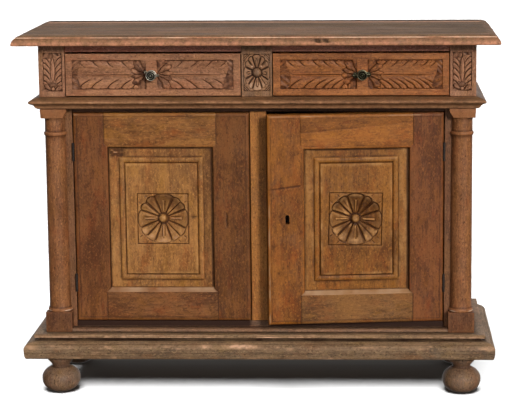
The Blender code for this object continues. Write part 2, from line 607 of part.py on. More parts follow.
def door_pieces(side):
    sign = 1 if side == "right" else -1
    turn = AJAR_RIGHT if side == "right" else 0.0
    swing = axis_empty(f"door_{side}_axis", (sign * HINGE_X, HINGE_Y, 0.0), turn)
    pieces = {
        "hinge_stile": (build_hinge_stile, WALNUT, 0.5, 0.0),
        "meeting_stile": (build_meeting_stile, WALNUT, 0.5, 0.0),
        "top_rail": (lambda n: build_rail(n, True), WALNUT, 0.5, 0.0),
        "bottom_rail": (lambda n: build_rail(n, False), WALNUT, 0.5, 0.0),
        "panel": (build_panel, PALE, 0.5, 0.0),
        "hinge_leaf_lower": (lambda n: build_door_leaf(n, HINGE_Z[0]), IRON, 0.5, 0.9),
        "hinge_leaf_upper": (lambda n: build_door_leaf(n, HINGE_Z[1]), IRON, 0.5, 0.9),
    }
    if side == "right":
        pieces["meeting_stile"] = (lambda n: cut(build_meeting_stile(n), keyhole_cutter()), WALNUT, 0.5, 0.0)
        pieces["lock_case"] = (build_lock_case, IRON, 0.5, 0.9)
        pieces["lock_bolt"] = (build_lock_bolt, IRON, 0.45, 0.9)
    for key, (build, colour, rough, metal) in pieces.items():
        name = f"door_{side}_{key}"
        obj = build(name if side == "right" else "tmp_" + name)
        if side == "left":
            other = mirrored(obj, name)
            bpy.data.objects.remove(obj, do_unlink=True)
            obj = other
        finish(obj, colour, rough, metal, swing)


door_pieces("left")
door_pieces("right")
bpy.context.view_layer.update()
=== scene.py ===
"""Looks of the side cabinet: carved and moulded walnut with wear, iron hinges and
bronze knobs, on a white floor. Metres, +Z up, front towards -Y."""

import math

import bmesh
import bpy
import numpy as np
from mathutils import Matrix, Vector


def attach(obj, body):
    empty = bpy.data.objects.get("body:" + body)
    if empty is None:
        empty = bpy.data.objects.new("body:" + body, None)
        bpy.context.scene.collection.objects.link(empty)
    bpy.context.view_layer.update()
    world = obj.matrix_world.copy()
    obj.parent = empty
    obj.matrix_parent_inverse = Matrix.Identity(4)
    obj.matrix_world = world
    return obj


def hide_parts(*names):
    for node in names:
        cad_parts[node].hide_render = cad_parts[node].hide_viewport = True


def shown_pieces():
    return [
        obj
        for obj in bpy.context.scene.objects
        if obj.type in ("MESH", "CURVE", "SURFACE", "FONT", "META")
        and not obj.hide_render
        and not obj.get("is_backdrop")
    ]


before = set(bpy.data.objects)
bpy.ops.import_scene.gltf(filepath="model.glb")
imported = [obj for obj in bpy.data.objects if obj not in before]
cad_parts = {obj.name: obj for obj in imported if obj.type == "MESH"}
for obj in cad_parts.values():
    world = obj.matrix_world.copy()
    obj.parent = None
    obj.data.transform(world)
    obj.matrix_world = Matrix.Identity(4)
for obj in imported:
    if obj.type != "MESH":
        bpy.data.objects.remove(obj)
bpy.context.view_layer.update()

# ------------------------------------------------------------------ dimensions
GAP = 0.0003
TOP_HALF, TOP_FRONT, TOP_BACK, TOP_Z0, TOP_Z1 = 0.740, -0.265, 0.265, 1.111, 1.134
FACE_X, FACE_Y = 0.670, -0.194
WALL_X, WALL_T, CARCASS_BACK = 0.662, 0.022, 0.255
STILE_Y, STILE_BACK = -0.160, -0.130
FRIEZE_Z0, BLOCK_IN, CENTER_HALF = 0.9398, 0.5895, 0.0467
RAIL_Z0, RAIL_Y = 1.0772, -0.186
DRAWER_X0, DRAWER_X1, DRAWER_Z0, DRAWER_Z1 = 0.0497, 0.5867, 0.9430, 1.0722
DRAWER_FRONT, DRAWER_FRONT_T, DRAWER_SIDE_T, DRAWER_BACK = -0.196, 0.022, 0.012, 0.225
DRAWER_SIDE_Z0, DRAWER_SIDE_Z1 = 0.9402, 1.062
KNOB_X, KNOB_Z = 0.3225, 1.0068
LEAF_Z0, LEAF_Z1 = 0.9627, 1.0526
LEAF_OUT, LEAF_IN = (0.3390, 0.5670), (0.0720, 0.3060)
WAIST_Z0, WAIST_Z1, WAIST_OUT = 0.9032, 0.9395, 0.030
COLUMN_X, COLUMN_Y = 0.629, -0.155
CAPITAL_Z0, PLINTH_Z0, PLINTH_Z1 = 0.8725, 0.1965, 0.2603
STILE_IN, CENTER_STILE_HALF = 0.576, 0.025
HEAD_Z0, SILL_Z1, BEAD_Z1 = 0.8893, 0.2262, 0.2076
DOOR_X0, DOOR_X1, DOOR_Z0, DOOR_Z1 = 0.0275, 0.5725, 0.2289, 0.8868
DOOR_FRONT, DOOR_BACK = -0.173, -0.143
OPEN_X0, OPEN_X1, OPEN_Z0, OPEN_Z1 = 0.1416, 0.4655, 0.3329, 0.7785
BEVEL, BEVEL_DROP = 0.0125, 0.010
JOINT_X0, JOINT_X1, JOINT_Z0, JOINT_Z1 = OPEN_X0 - BEVEL, OPEN_X1 + BEVEL, OPEN_Z0 - BEVEL, OPEN_Z1 + BEVEL
PANEL_Y, FIELD_Y, PANEL_BACK = -0.159, -0.167, -0.148
FIELD_X0, FIELD_X1, FIELD_Z0, FIELD_Z1 = 0.1910, 0.4137, 0.3734, 0.7229
ROSETTE_X, ROSETTE_Z, ROSETTE_HALF = 0.2990, 0.5480, 0.0790
HINGE_X, HINGE_Y, HINGE_HALF, HINGE_Z = 0.57425, -0.1655, 0.028, (0.3496, 0.7641)
AJAR_RIGHT = math.radians(6.0)
KEYHOLE_X, KEYHOLE_Z = 0.0880, 0.5614
BASE_Z0, BASE_Z1, BASE_OUT, LEDGE_OUT, BASE_IN = 0.1313, 0.1962, 0.062, 0.033, -0.110
FOOT_X, FOOT_FRONT, FOOT_BACK = 0.633, -0.158, 0.165
INSIDE = WALL_X - WALL_T - GAP


# ----------------------------------------------------------------------- noise
def lattice(i, j, k, seed):
    h = (i * 374761393 + j * 668265263 + k * 1274126177 + seed * 974711) & 0xFFFFFFFF
    h = ((h ^ (h >> 13)) * 1274126177) & 0xFFFFFFFF
    h = h ^ (h >> 16)
    return (h & 0xFFFF) / 65535.0


def noise(p, size, seed=0, octaves=1):
    """Smooth noise from -1 to 1 at points p; size is the length of its features."""
    total, amount, norm = 0.0, 1.0, 0.0
    for octave in range(octaves):
        q = p / (np.asarray(size, float) / 2 ** octave)
        c = np.floor(q).astype(np.int64)
        f = q - c
        f = f * f * (3 - 2 * f)
        value = 0.0
        for dx in (0, 1):
            wx = f[..., 0] if dx else 1 - f[..., 0]
            for dy in (0, 1):
                wy = f[..., 1] if dy else 1 - f[..., 1]
                for dz in (0, 1):
                    wz = f[..., 2] if dz else 1 - f[..., 2]
                    value = value + wx * wy * wz * lattice(c[..., 0] + dx, c[..., 1] + dy, c[..., 2] + dz, int(seed * 10) + 17 * octave)
        total = total + amount * (2 * value - 1)
        norm += amount
        amount *= 0.5
    return total / norm


def ease(a, b, x):
    t = np.clip((x - a) / (b - a), 0, 1)
    return t * t * (3 - 2 * t)


def bump(x, width):
    return np.exp(-((x / width) ** 2))


# ---------------------------------------------------------------- mesh building
class Patch:
    """Points, faces (arrays of equal-sided faces), and two marks per point:
    how dark it is, from grime in crevices and from painted shade, and how pale it is, from rubbing and from painted
    highlights."""

    def __init__(self, verts, faces, grime_and_shade=None, wear_and_highlight=None):
        self.v = np.asarray(verts, float).reshape(-1, 3)
        self.f = [np.asarray(f, np.int64) for f in faces]
        n = len(self.v)
        self.grime_and_shade = np.zeros(n) if grime_and_shade is None else np.asarray(grime_and_shade, float).ravel()
        self.wear_and_highlight = np.zeros(n) if wear_and_highlight is None else np.asarray(wear_and_highlight, float).ravel()


def quads(a, b, wrap=False):
    """Faces of an a x b grid of points; wrap joins the last column to the first."""
    index = np.arange(a * b).reshape(a, b)
    if wrap:
        index = np.concatenate([index, index[:, :1]], 1)
    return np.stack([index[:-1, :-1], index[1:, :-1], index[1:, 1:], index[:-1, 1:]], -1).reshape(-1, 4)


def grid_patch(points, grime_and_shade=None, wear_and_highlight=None):
    a, b = points.shape[:2]
    return Patch(points, [quads(a, b)], grime_and_shade, wear_and_highlight)


def fan(loop):
    """Closed flat outline filled from its middle."""
    loop = np.asarray(loop, float)
    n = len(loop)
    k = np.arange(n)
    return Patch(np.concatenate([loop, loop.mean(0)[None]]), [np.stack([k, (k + 1) % n, np.full(n, n)], 1)])


def polygon(loop):
    return Patch(loop, [np.arange(len(loop))[None]])


def mirror_patches(patches):
    out = []
    for p in patches:
        v = p.v.copy()
        v[:, 0] *= -1
        out.append(Patch(v, [f[:, ::-1] for f in p.f], p.grime_and_shade, p.wear_and_highlight))
    return out


def turn_patches(patches, angle, x, y):
    c, s = math.cos(angle), math.sin(angle)
    out = []
    for p in patches:
        v = p.v.copy()
        dx, dy = v[:, 0] - x, v[:, 1] - y
        v[:, 0], v[:, 1] = x + c * dx - s * dy, y + s * dx + c * dy
        out.append(Patch(v, p.f, p.grime_and_shade, p.wear_and_highlight))
    return out


def body_of_node(node):
    if node == "door_right_lock_bolt":
        return "lock_bolt"
    for body in ("drawer_left", "drawer_right", "door_left", "door_right"):
        if node.startswith(body + "_"):
            return body
    return "carcass"


def make(node, patches, mat, sharp=None):
    """One mesh piece from patches, welded where they meet, standing for a CAD node."""
    name = node + "_look"
    verts = np.concatenate([p.v for p in patches])
    offset, loops, sizes = 0, [], []
    for p in patches:
        for f in p.f:
            loops.append((f + offset).ravel())
            sizes.append(np.full(len(f), f.shape[1]))
        offset += len(p.v)
    loops, sizes = np.concatenate(loops), np.concatenate(sizes)
    starts = np.concatenate([[0], np.cumsum(sizes)[:-1]])
    mesh = bpy.data.meshes.new(name)
    mesh.vertices.add(len(verts))
    mesh.vertices.foreach_set("co", verts.astype(np.float32).ravel())
    mesh.loops.add(len(loops))
    mesh.loops.foreach_set("vertex_index", loops.astype(np.int32))
    mesh.polygons.add(len(sizes))
    mesh.polygons.foreach_set("loop_start", starts.astype(np.int32))
    mesh.update(calc_edges=True)
    for key in ("grime_and_shade", "wear_and_highlight"):
        layer = mesh.attributes.new(key, "FLOAT", "POINT")
        layer.data.foreach_set("value", np.concatenate([getattr(p, key) for p in patches]).astype(np.float32))
    bm = bmesh.new()
    bm.from_mesh(mesh)
    bmesh.ops.remove_doubles(bm, verts=bm.verts, dist=2e-6)
    bmesh.ops.recalc_face_normals(bm, faces=bm.faces)
    bm.to_mesh(mesh)
    bm.free()
    mesh.polygons.foreach_set("use_smooth", np.ones(len(mesh.polygons), bool))
    if sharp:
        mesh.set_sharp_from_angle(angle=math.radians(sharp))
    obj = bpy.data.objects.new(name, mesh)
    bpy.context.scene.collection.objects.link(obj)
    obj.data.materials.append(mat)
    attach(obj, body_of_node(node))
    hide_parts(node)
    return obj


def lines(a, b, step, marks=(), edge=()):
    """Grid lines from a to b about a step apart, with extra lines at marks and near both ends."""
    n = max(2, int(round((b - a) / step)) + 1)
    found = np.linspace(a, b, n)
    extra = [m for m in marks if a < m < b] + [a + e for e in edge] + [b - e for e in edge]
    if len(extra):
        extra = np.array(sorted(extra))
        keep = np.abs(found[:, None] - extra[None]).min(1) > step * 0.22
        keep[0] = keep[-1] = True
        found = np.unique(np.round(np.concatenate([found[keep], extra]), 7))
    return found


def rounded_board(x0, x1, y0, y1, z0, z1, r=0.0012, step=0.02, seed=0, wear_and_highlight=0.6, warp=0.0002, chips=0.0):
    """Board with eased edges, a little uneven, as one closed skin."""
    lo, hi = np.array([x0, y0, z0]), np.array([x1, y1, z1])
    r = min(r, 0.45 * (hi - lo).min())
    bands = r * (1 - np.tan(np.radians([45, 30, 15, 0])))
    near = [b for b in bands[1:]] + [r + 0.0025, r + 0.006]
    axes = []
    for a, b in zip(lo, hi):
        axes.append(lines(a, b, step, edge=[e for e in near if e < (b - a) * 0.45]))
    patches = []
    for w in range(3):
        u, v = [k for k in range(3) if k != w]
        for side in (0, 1):
            g = np.zeros((len(axes[u]), len(axes[v]), 3))
            g[..., u], g[..., v] = np.meshgrid(axes[u], axes[v], indexing="ij")
            g[..., w] = hi[w] if side else lo[w]
            inner = np.clip(g, lo + r, hi - r)
            d = g - inner
            length = np.maximum(np.linalg.norm(d, axis=-1, keepdims=True), 1e-12)
            p = inner + r * d / length
            normal = d / length
            edge = 1 - np.abs(normal).max(-1)
            edge = np.clip(edge / 0.29, 0, 1)
            near_edge = np.zeros(edge.shape)
            for k in (u, v):
                near_edge = np.maximum(near_edge, 1 - np.clip(np.minimum(g[..., k] - lo[k], hi[k] - g[..., k]) / (r + 0.006), 0, 1))
            rub = np.clip(0.55 + 0.9 * noise(p, 0.035, seed + 5, 2), 0, 1)
            move = warp * noise(p, 0.16, seed, 2)
            dent = np.clip(noise(p, 0.014, seed + 3, 2) - 0.25, 0, 1) * edge
            p = p - normal * (np.maximum(0, move)[..., None] + (0.0006 + chips) * dent[..., None])
            patches.append(grid_patch(p, None, wear_and_highlight * np.maximum(edge, 0.55 * near_edge) * rub))
    return patches


def relief_block(x0, x1, z0, z1, y_front, y_back, relief, step, r=0.0015, seed=0, warp=0.0002, marks_x=(), marks_z=()):
    """Board whose front is carved: relief(x, z) gives the depth below y_front, and marks
    of crevices and rubbed places, with painted shade and painted highlights, on top of those found from the shape."""
    near = [r * 0.12, r * 0.45, r]
    xs = lines(x0, x1, step, marks_x, near)
    zs = lines(z0, z1, step, marks_z, near)
    X, Z = np.meshgrid(xs, zs, indexing="ij")
    depth, grime_and_shade, wear_and_highlight = relief(X, Z)
    d = np.minimum(np.minimum(X - x0, x1 - X), np.minimum(Z - z0, z1 - Z))
    k = np.clip(r - d, 0, r)
    depth = depth + (r - np.sqrt(np.maximum(r * r - k * k, 0)))
    p = np.stack([X, np.full_like(X, y_front), Z], -1)
    wear_and_highlight = np.maximum(wear_and_highlight, ease(0.004, 0.0, d) * np.clip(0.5 + 0.9 * noise(p, 0.03, seed + 9, 2), 0, 1) * 0.7)
    depth = depth + warp * (0.5 + 0.5 * noise(p, 0.12, seed, 2))
    p[..., 1] += depth
    front = grid_patch(p, grime_and_shade, wear_and_highlight)
    loop = np.concatenate([p[:, 0], p[-1, 1:], p[-2::-1, -1], p[0, -2:0:-1]])
    back = loop.copy()
    back[:, 1] = y_back
    n = len(loop)
    k = np.arange(n)
    wall = Patch(np.concatenate([loop, back]), [np.stack([k, (k + 1) % n, n + (k + 1) % n, n + k], 1)])
    return [front, wall, fan(back)]


def shape_marks(depth, step, scale=0.004, deep=0.0011, high=0.0008):
    """Crevices and high spots of a carved height field, from its difference to a blurred copy."""
    h = -depth
    n = max(1, int(round(scale / step)))
    soft = h
    for _ in range(3):
        for axis in (0, 1):
            pad = [(n, n) if a == axis else (0, 0) for a in (0, 1)]
            c = np.cumsum(np.pad(soft, pad, mode="edge"), axis=axis)
            c = np.concatenate([np.zeros_like(np.take(c, [0], axis)), c], axis)
            size = soft.shape[axis]
            soft = (np.take(c, range(2 * n + 1, 2 * n + 1 + size), axis) - np.take(c, range(0, size), axis)) / (2 * n + 1)
    diff = h - soft
    return np.clip(-diff / deep, 0, 1), np.clip(diff / high, 0, 1)


def smooth_profile(points, sub=4, sharp=()):
    """Profile points joined by curves; sharp lists the points that stay corners."""
    pts = [np.array(p, float) for p in points]
    n = len(pts)
    out = []
    for i in range(n - 1):
        p1, p2 = pts[i], pts[i + 1]
        if i in sharp and (i + 1) in sharp:
            out.append(p1)
            continue
        m1 = (p2 - p1) if (i in sharp or i == 0) else (p2 - pts[i - 1]) / 2
        m2 = (p2 - p1) if ((i + 1) in sharp or i + 2 == n) else (pts[i + 2] - p1) / 2
        limit = np.linalg.norm(p2 - p1)
        for m in (m1, m2):
            size = np.linalg.norm(m)
            if size > limit:
                m *= limit / size
        for k in range(sub):
            t = k / sub
            out.append((2 * t ** 3 - 3 * t ** 2 + 1) * p1 + (t ** 3 - 2 * t ** 2 + t) * m1 + (-2 * t ** 3 + 3 * t ** 2) * p2 + (t ** 3 - t ** 2) * m2)
    out.append(pts[-1])
    return np.array(out)


def profile_marks(profile, reach=0.004):
    """How hollow and how proud each point of an open profile is."""
    s = np.concatenate([[0], np.cumsum(np.linalg.norm(np.diff(profile, axis=0), axis=1))])
    out = np.zeros(len(profile))
    t = np.gradient(profile, s + np.arange(len(s)) * 1e-9, axis=0)
    side = np.stack([-t[:, 1], t[:, 0]], 1)
    side /= np.maximum(np.linalg.norm(side, axis=1, keepdims=True), 1e-9)
    for i in range(len(profile)):
        w = np.exp(-((s - s[i]) / reach) ** 2)
        w /= w.sum()
        out[i] = ((profile * w[:, None]).sum(0) - profile[i]) @ side[i]
    return out


# -------------------------------------------------------------------- materials
def lin(rgb):
    c = np.array(rgb, float) / 255
    return np.where(c <= 0.04045, c / 12.92, ((c + 0.055) / 1.055) ** 2.4)


class Graph:
    """Small helper for shader nodes."""

    def __init__(self, name):
        self.mat = bpy.data.materials.new(name)
        self.mat.use_nodes = True
        self.nodes, self.links = self.mat.node_tree.nodes, self.mat.node_tree.links
        self.shader = self.nodes["Principled BSDF"]
        self.coord = self.nodes.new("ShaderNodeTexCoord").outputs["Object"]

    def put(self, socket, value):
        if isinstance(value, bpy.types.NodeSocket):
            self.links.new(value, socket)
        elif value is not None:
            socket.default_value = value

    def math(self, op, a, b=None, clamp=False):
        n = self.nodes.new("ShaderNodeMath")
        n.operation, n.use_clamp = op, clamp
        self.put(n.inputs[0], a)
        self.put(n.inputs[1], b)
        return n.outputs[0]

    def vector(self, op, a, b=None, scale=None):
        n = self.nodes.new("ShaderNodeVectorMath")
        n.operation = op
        self.put(n.inputs[0], a)
        if b is not None:
            self.put(n.inputs[1], b)
        if scale is not None:
            self.put(n.inputs["Scale"], scale)
        return n.outputs[0]

    def mapped(self, vec, scale, offset=(0, 0, 0)):
        n = self.nodes.new("ShaderNodeMapping")
        self.put(n.inputs["Vector"], vec)
        n.inputs["Scale"].default_value = scale
        n.inputs["Location"].default_value = offset
        return n.outputs[0]

    def noise(self, vec, scale, detail=3.0, rough=0.55, lacunarity=2.0, colour=False):
        n = self.nodes.new("ShaderNodeTexNoise")
        self.put(n.inputs["Vector"], vec)
        n.inputs["Scale"].default_value = scale
        n.inputs["Detail"].default_value = detail
        n.inputs["Roughness"].default_value = rough
        n.inputs["Lacunarity"].default_value = lacunarity
        return n.outputs["Color" if colour else "Fac"]

    def voronoi(self, vec, scale, output="Distance", randomness=1.0):
        n = self.nodes.new("ShaderNodeTexVoronoi")
        self.put(n.inputs["Vector"], vec)
        n.inputs["Scale"].default_value = scale
        n.inputs["Randomness"].default_value = randomness
        return n.outputs[output]

    def span(self, value, a, b, c=0.0, d=1.0):
        n = self.nodes.new("ShaderNodeMapRange")
        n.clamp = True
        self.put(n.inputs["Value"], value)
        for key, x in (("From Min", a), ("From Max", b), ("To Min", c), ("To Max", d)):
            n.inputs[key].default_value = x
        return n.outputs["Result"]

    def mix(self, fac, a, b, blend="MIX"):
        n = self.nodes.new("ShaderNodeMix")
        n.data_type, n.blend_type = "RGBA", blend
        self.put(n.inputs["Factor"], fac)
        self.put(n.inputs[6], a)
        self.put(n.inputs[7], b)
        return n.outputs[2]

    def attribute(self, name):
        n = self.nodes.new("ShaderNodeAttribute")
        n.attribute_type, n.attribute_name = "GEOMETRY", name
        return n.outputs["Fac"]

    def bump(self, height, strength, distance):
        n = self.nodes.new("ShaderNodeBump")
        n.inputs["Strength"].default_value = strength
        n.inputs["Distance"].default_value = distance
        self.put(n.inputs["Height"], height)
        return n.outputs["Normal"]


def rgba(c):
    return (float(c[0]), float(c[1]), float(c[2]), 1.0)


EXPOSE = 0.92       # ratio of a wood's own colour to how it looks under these lights


def wood(name, tone, axis="Z", seed=1, contrast=1.0, grey=0.04, red=0.0, cavity=0.85, rub=0.55, rough=0.5, worm=0.5, dark_marks=0.35, rubbed_and_lit=None, patch=1.0, bare=(178, 146, 116)):
    """Walnut. tone: how the board looks on average (0 to 255), axis: the way its grain runs."""
    g = Graph(name)
    mid = lin(tone) * EXPOSE
    light = np.clip(mid * np.array([1.46, 1.46, 1.44]), 0, 0.9)
    dark = mid * np.array([0.56, 0.47, 0.36])
    along = {"X": 0, "Y": 1, "Z": 2}[axis]
    offset = (seed * 1.37 % 7, seed * 2.11 % 7, seed * 0.73 % 7)
    turned_offset = (offset[2], offset[0], offset[1])

    def stretched(k):
        s = [1.0, 1.0, 1.0]
        s[along] = k
        return tuple(s)

    # grain that wanders slowly along the board
    drift = g.noise(g.mapped(g.coord, stretched(0.35), offset), 5.0, 2.0, 0.5, colour=True)
    drift = g.vector("SUBTRACT", drift, (0.5, 0.5, 0.5))
    drift = g.vector("SCALE", drift, scale=0.045)
    vec = g.vector("ADD", g.coord, drift)
    broad = g.noise(g.mapped(vec, stretched(0.12), offset), 30.0, 5.0, 0.66)
    streak = g.noise(g.mapped(vec, stretched(0.10), offset), 190.0, 4.0, 0.62)
    fine = g.noise(g.mapped(vec, stretched(0.03), offset), 620.0, 2.0, 0.6)
    figure = g.math("ADD", g.math("MULTIPLY", broad, 0.44), g.math("ADD", g.math("MULTIPLY", streak, 0.40), g.math("MULTIPLY", fine, 0.16)))
    w = 0.105 / contrast
    fac = g.span(figure, 0.5 - w, 0.5 + w)
    colour = g.mix(fac, rgba(dark), rgba(light))
    # blotches of old polish: greyer, redder and more yellow places
    blot = g.noise(g.mapped(g.coord, (1, 1, 1), offset), 9.0, 4.0, 0.6)
    grey_to = np.array([mid.mean() * 1.12, mid.mean() * 0.98, mid.mean() * 0.84])
    colour = g.mix(g.span(blot, 0.50, 0.72, 0.0, min(1.0, grey + 0.12)), colour, rgba(grey_to))
    colour = g.mix(grey, colour, rgba(grey_to))
    other = g.noise(g.mapped(g.coord, stretched(0.45), turned_offset), 26.0, 5.0, 0.68)
    rosy = mid * np.array([1.14, 0.80, 0.62])
    colour = g.mix(g.span(other, 0.51, 0.68, red * 0.4, min(1.0, 0.55 * patch + red)), colour, rgba(rosy))
    ochre = mid * np.array([1.12, 1.08, 0.62])
    colour = g.mix(g.span(other, 0.49, 0.32, 0.0, 0.55 * patch), colour, rgba(ochre))
    # lighter and darker patches
    tide = g.noise(g.mapped(g.coord, stretched(0.4), offset), 58.0, 5.0, 0.70)
    colour = g.mix(g.span(tide, 0.52, 0.72, 0.0, 0.42 * patch), colour, rgba(light * 1.08))
    colour = g.mix(g.span(tide, 0.47, 0.30, 0.0, 0.50 * patch), colour, rgba(dark * 0.78))
    cloud = g.noise(g.mapped(g.coord, stretched(0.6), turned_offset), 8.0, 2.0, 0.5)
    colour = g.mix(g.span(cloud, 0.47, 0.30, 0.0, min(0.8, 0.38 * patch)), colour, rgba(dark * 0.85))
    colour = g.mix(g.span(cloud, 0.53, 0.70, 0.0, min(0.8, 0.36 * patch)), colour, rgba(light))
    # open pores and specks
    pore = g.noise(g.mapped(vec, stretched(0.05), offset), 1300.0, 1.0, 0.5)
    pore = g.span(pore, 0.60, 0.72)
    colour = g.mix(g.math("MULTIPLY", pore, 0.45), colour, rgba(dark * 0.45))
    speck = g.noise(g.mapped(g.coord, stretched(0.6), offset), 210.0, 4.0, 0.70)
    colour = g.mix(g.span(speck, 0.53, 0.66, 0.0, min(1.0, dark_marks * 2.2)), colour, rgba(dark * 0.42))
    pale = g.noise(g.mapped(g.coord, stretched(0.6), turned_offset), 190.0, 4.0, 0.70)
    colour = g.mix(g.span(pale, 0.53, 0.68, 0.0, 0.80), colour, rgba(np.clip(light * 1.25, 0, 0.9)))
    # worm holes
    if worm > 0:
        hole = g.voronoi(g.mapped(g.coord, (1, 1, 1), offset), 21.0)
        pick = g.span(g.noise(g.mapped(g.coord, (1, 1, 1), offset), 16.0, 0.0), 0.52, 0.56)
        spot = g.math("MULTIPLY", g.span(hole, 0.040, 0.022), pick)
        colour = g.mix(g.math("MULTIPLY", spot, worm), colour, rgba(dark * 0.18))
    # crevices dark with old wax and painted shade; rubbed places and painted highlights pale, the strongest in the bare
    # colour
    grime_and_shade = g.attribute("grime_and_shade")
    patchy = g.noise(g.mapped(g.coord, (1, 1, 1), offset), 70.0, 4.0, 0.65)
    cav_fac = g.math("MULTIPLY", grime_and_shade, g.span(patchy, 0.25, 0.70, cavity * 0.75, cavity))
    colour = g.mix(cav_fac, colour, rgba(mid * np.array([0.14, 0.09, 0.07])))
    wear_and_highlight = g.attribute("wear_and_highlight")
    rubbed_and_lit = np.clip(mid * np.array([1.55, 1.50, 1.48]), 0, 0.9) if rubbed_and_lit is None else lin(rubbed_and_lit) * EXPOSE
    wear_fac = g.math("MULTIPLY", g.math("MINIMUM", wear_and_highlight, 1.0), g.span(patchy, 0.35, 0.66, rub * 0.25, rub))
    colour = g.mix(wear_fac, colour, rgba(rubbed_and_lit))
    colour = g.mix(g.span(wear_and_highlight, 1.05, 2.0, 0.0, 0.92), colour, rgba(lin(bare) * EXPOSE))
    g.links.new(colour, g.shader.inputs["Base Color"])
    # sheen of old wax: uneven, duller in pores and crevices
    sheen = g.span(blot, 0.3, 0.7, rough - 0.07, rough + 0.08)
    sheen = g.math("ADD", sheen, g.math("MULTIPLY", g.math("ADD", grime_and_shade, pore), 0.16), clamp=True)
    g.links.new(sheen, g.shader.inputs["Roughness"])
    g.shader.inputs["Specular IOR Level"].default_value = 0.22
    height = g.math("SUBTRACT", g.math("ADD", g.math("MULTIPLY", fine, 0.5), g.math("MULTIPLY", streak, 0.8)), g.math("MULTIPLY", pore, 0.9))
    height = g.math("ADD", height, g.math("MULTIPLY", speck, -0.8))
    g.links.new(g.bump(height, 0.35, 0.0006), g.shader.inputs["Normal"])
    return g.mat


def metal(name, base, other, rough=0.4, seed=3, metallic=1.0, rust=None):
    g = Graph(name)
    offset = (seed * 0.9, seed * 0.4, seed * 1.3)
    broad = g.noise(g.mapped(g.coord, (1, 1, 1), offset), 90.0, 4.0, 0.6)
    fine = g.noise(g.mapped(g.coord, (1, 1, 1), offset), 700.0, 4.0, 0.65)
    colour = g.mix(g.span(broad, 0.38, 0.62), rgba(base), rgba(other))
    if rust is not None:
        colour = g.mix(g.span(fine, 0.52, 0.70, 0.0, 0.75), colour, rgba(rust))
    grime_and_shade = g.attribute("grime_and_shade")
    colour = g.mix(g.math("MULTIPLY", grime_and_shade, 0.85), colour, rgba(np.array(base) * 0.10))
    wear_and_highlight = g.attribute("wear_and_highlight")
    colour = g.mix(g.math("MULTIPLY", wear_and_highlight, 0.6), colour, rgba(np.clip(np.array(other) * 1.7, 0, 0.95)))
    g.links.new(colour, g.shader.inputs["Base Color"])
    g.shader.inputs["Metallic"].default_value = metallic
    g.links.new(g.span(fine, 0.3, 0.7, rough - 0.08, rough + 0.16), g.shader.inputs["Roughness"])
    g.links.new(g.bump(g.math("ADD", broad, g.math("MULTIPLY", fine, 0.4)), 0.3, 0.0005), g.shader.inputs["Normal"])
    return g.mat


# ---------------------------------------------------------------------- carving
def rosette(dx, dz, ax, az, boss_r, seed, bowl=8.0):
    """Carved flower: depth in mm below the surface at mm offsets from its middle. The petals
    rise out of a dished middle: four wide ribbed ones on the axes, a pair of narrow ones on each diagonal."""
    u, w = dx / ax, dz / az
    r = np.hypot(u, w)
    mean = (ax + az) / 2
    th = np.degrees(np.arctan2(w, u))
    sector = np.floor((th + 45) / 90)
    wob = 2.2 * np.sin(sector * 2.3 + seed) + 1.6 * np.sin(np.radians(th * 3) + seed * 1.7)
    d = np.abs(((th + wob + 45) % 90) - 45)
    arc = np.pi / 180 * np.maximum(r, 0.05) * mean
    g1, g2 = (d - 22) * arc, (45 - d) * arc
    wide = ease(0.2, 0.6, r)
    fade = 1 - 0.45 * ease(0.75, 0.98, r)
    groove = (5.2 * bump(g1, 1.4 + 1.3 * wide) + 4.4 * bump(g2, 1.2 + 1.1 * wide)) * fade
    cardinal = d < 22
    lobe = np.where(cardinal, d / 22, (d - 33.5) / 11.5)
    reach = np.where(cardinal, 1.0 - 0.06 * np.abs(lobe) ** 3.5, 1.0 - 0.075 * np.abs(lobe) ** 2.2)
    reach = reach + 0.015 * np.sin(sector * 1.9 + seed * 2.1)
    body = -bowl + (bowl - 0.6) * (0.75 * np.clip((r - 0.2) / 0.78, 0, 1) + 0.25 * ease(0.70, 1.0, r))
    body = body + np.where(cardinal, 1.6, 1.4) * (1 - np.abs(lobe) ** 2.0) * ease(0.2, 0.45, r) - 0.7 * ease(0.93, 1.0, r / reach)
    across = np.sin(np.radians(d)) * r * mean
    along = ease(0.27, 0.34, r) * (1 - ease(0.70, 0.76, r)) * cardinal
    rib = along * (2.3 * bump(across, 1.9) - 2.2 * bump(across - 4.1, 1.2))
    rib = rib - cardinal * 1.8 * bump((r - 0.775) * mean, 1.5) * bump(across, 3.6)
    vein = -0.7 * np.where(cardinal, 0.0, bump(lobe * 0.2 * r * mean, 1.3)) * ease(0.45, 0.6, r) * (1 - ease(0.8, 0.9, r))
    petal = body - groove * ease(0.16, 0.3, r) + rib + vein
    # a stab cut round the petals, deepest above where the gouge went in
    outside = -0.1 - (3.6 + 2.6 * np.clip(w, -0.8, 1)) * bump((r - reach - 0.014) * mean, 1.5)
    notch = -1.7 * bump((d - 36.5) * arc, 1.4) * ease(1.04, 1.10, r) * (1 - ease(1.16, 1.24, r))
    h = np.where(r < reach, petal, outside + notch)
    rb = np.hypot(dx, dz)
    h = np.where(rb < boss_r + 6, np.minimum(h, -bowl - 0.8 + 2.6 * ease(boss_r + 1.5, boss_r + 6, rb)), h)
    dome = -bowl + 0.4 + (bowl + 2.6) * np.sqrt(np.clip(1 - (rb / boss_r) ** 2.4, 0, 1))
    h = np.where(rb < boss_r, np.maximum(dome, -bowl - 0.5), h)
    return -h


def cuts_between(s, cuts):
    """Where s (mm) lies between neighbouring cuts: share of the way, and the gap's width."""
    cuts = np.asarray(cuts, float)
    i = np.clip(np.searchsorted(cuts, s.ravel()).reshape(s.shape), 1, len(cuts) - 1)
    lo, hi = cuts[i - 1], cuts[i]
    return np.clip((s - lo) / (hi - lo), 0, 1), hi - lo


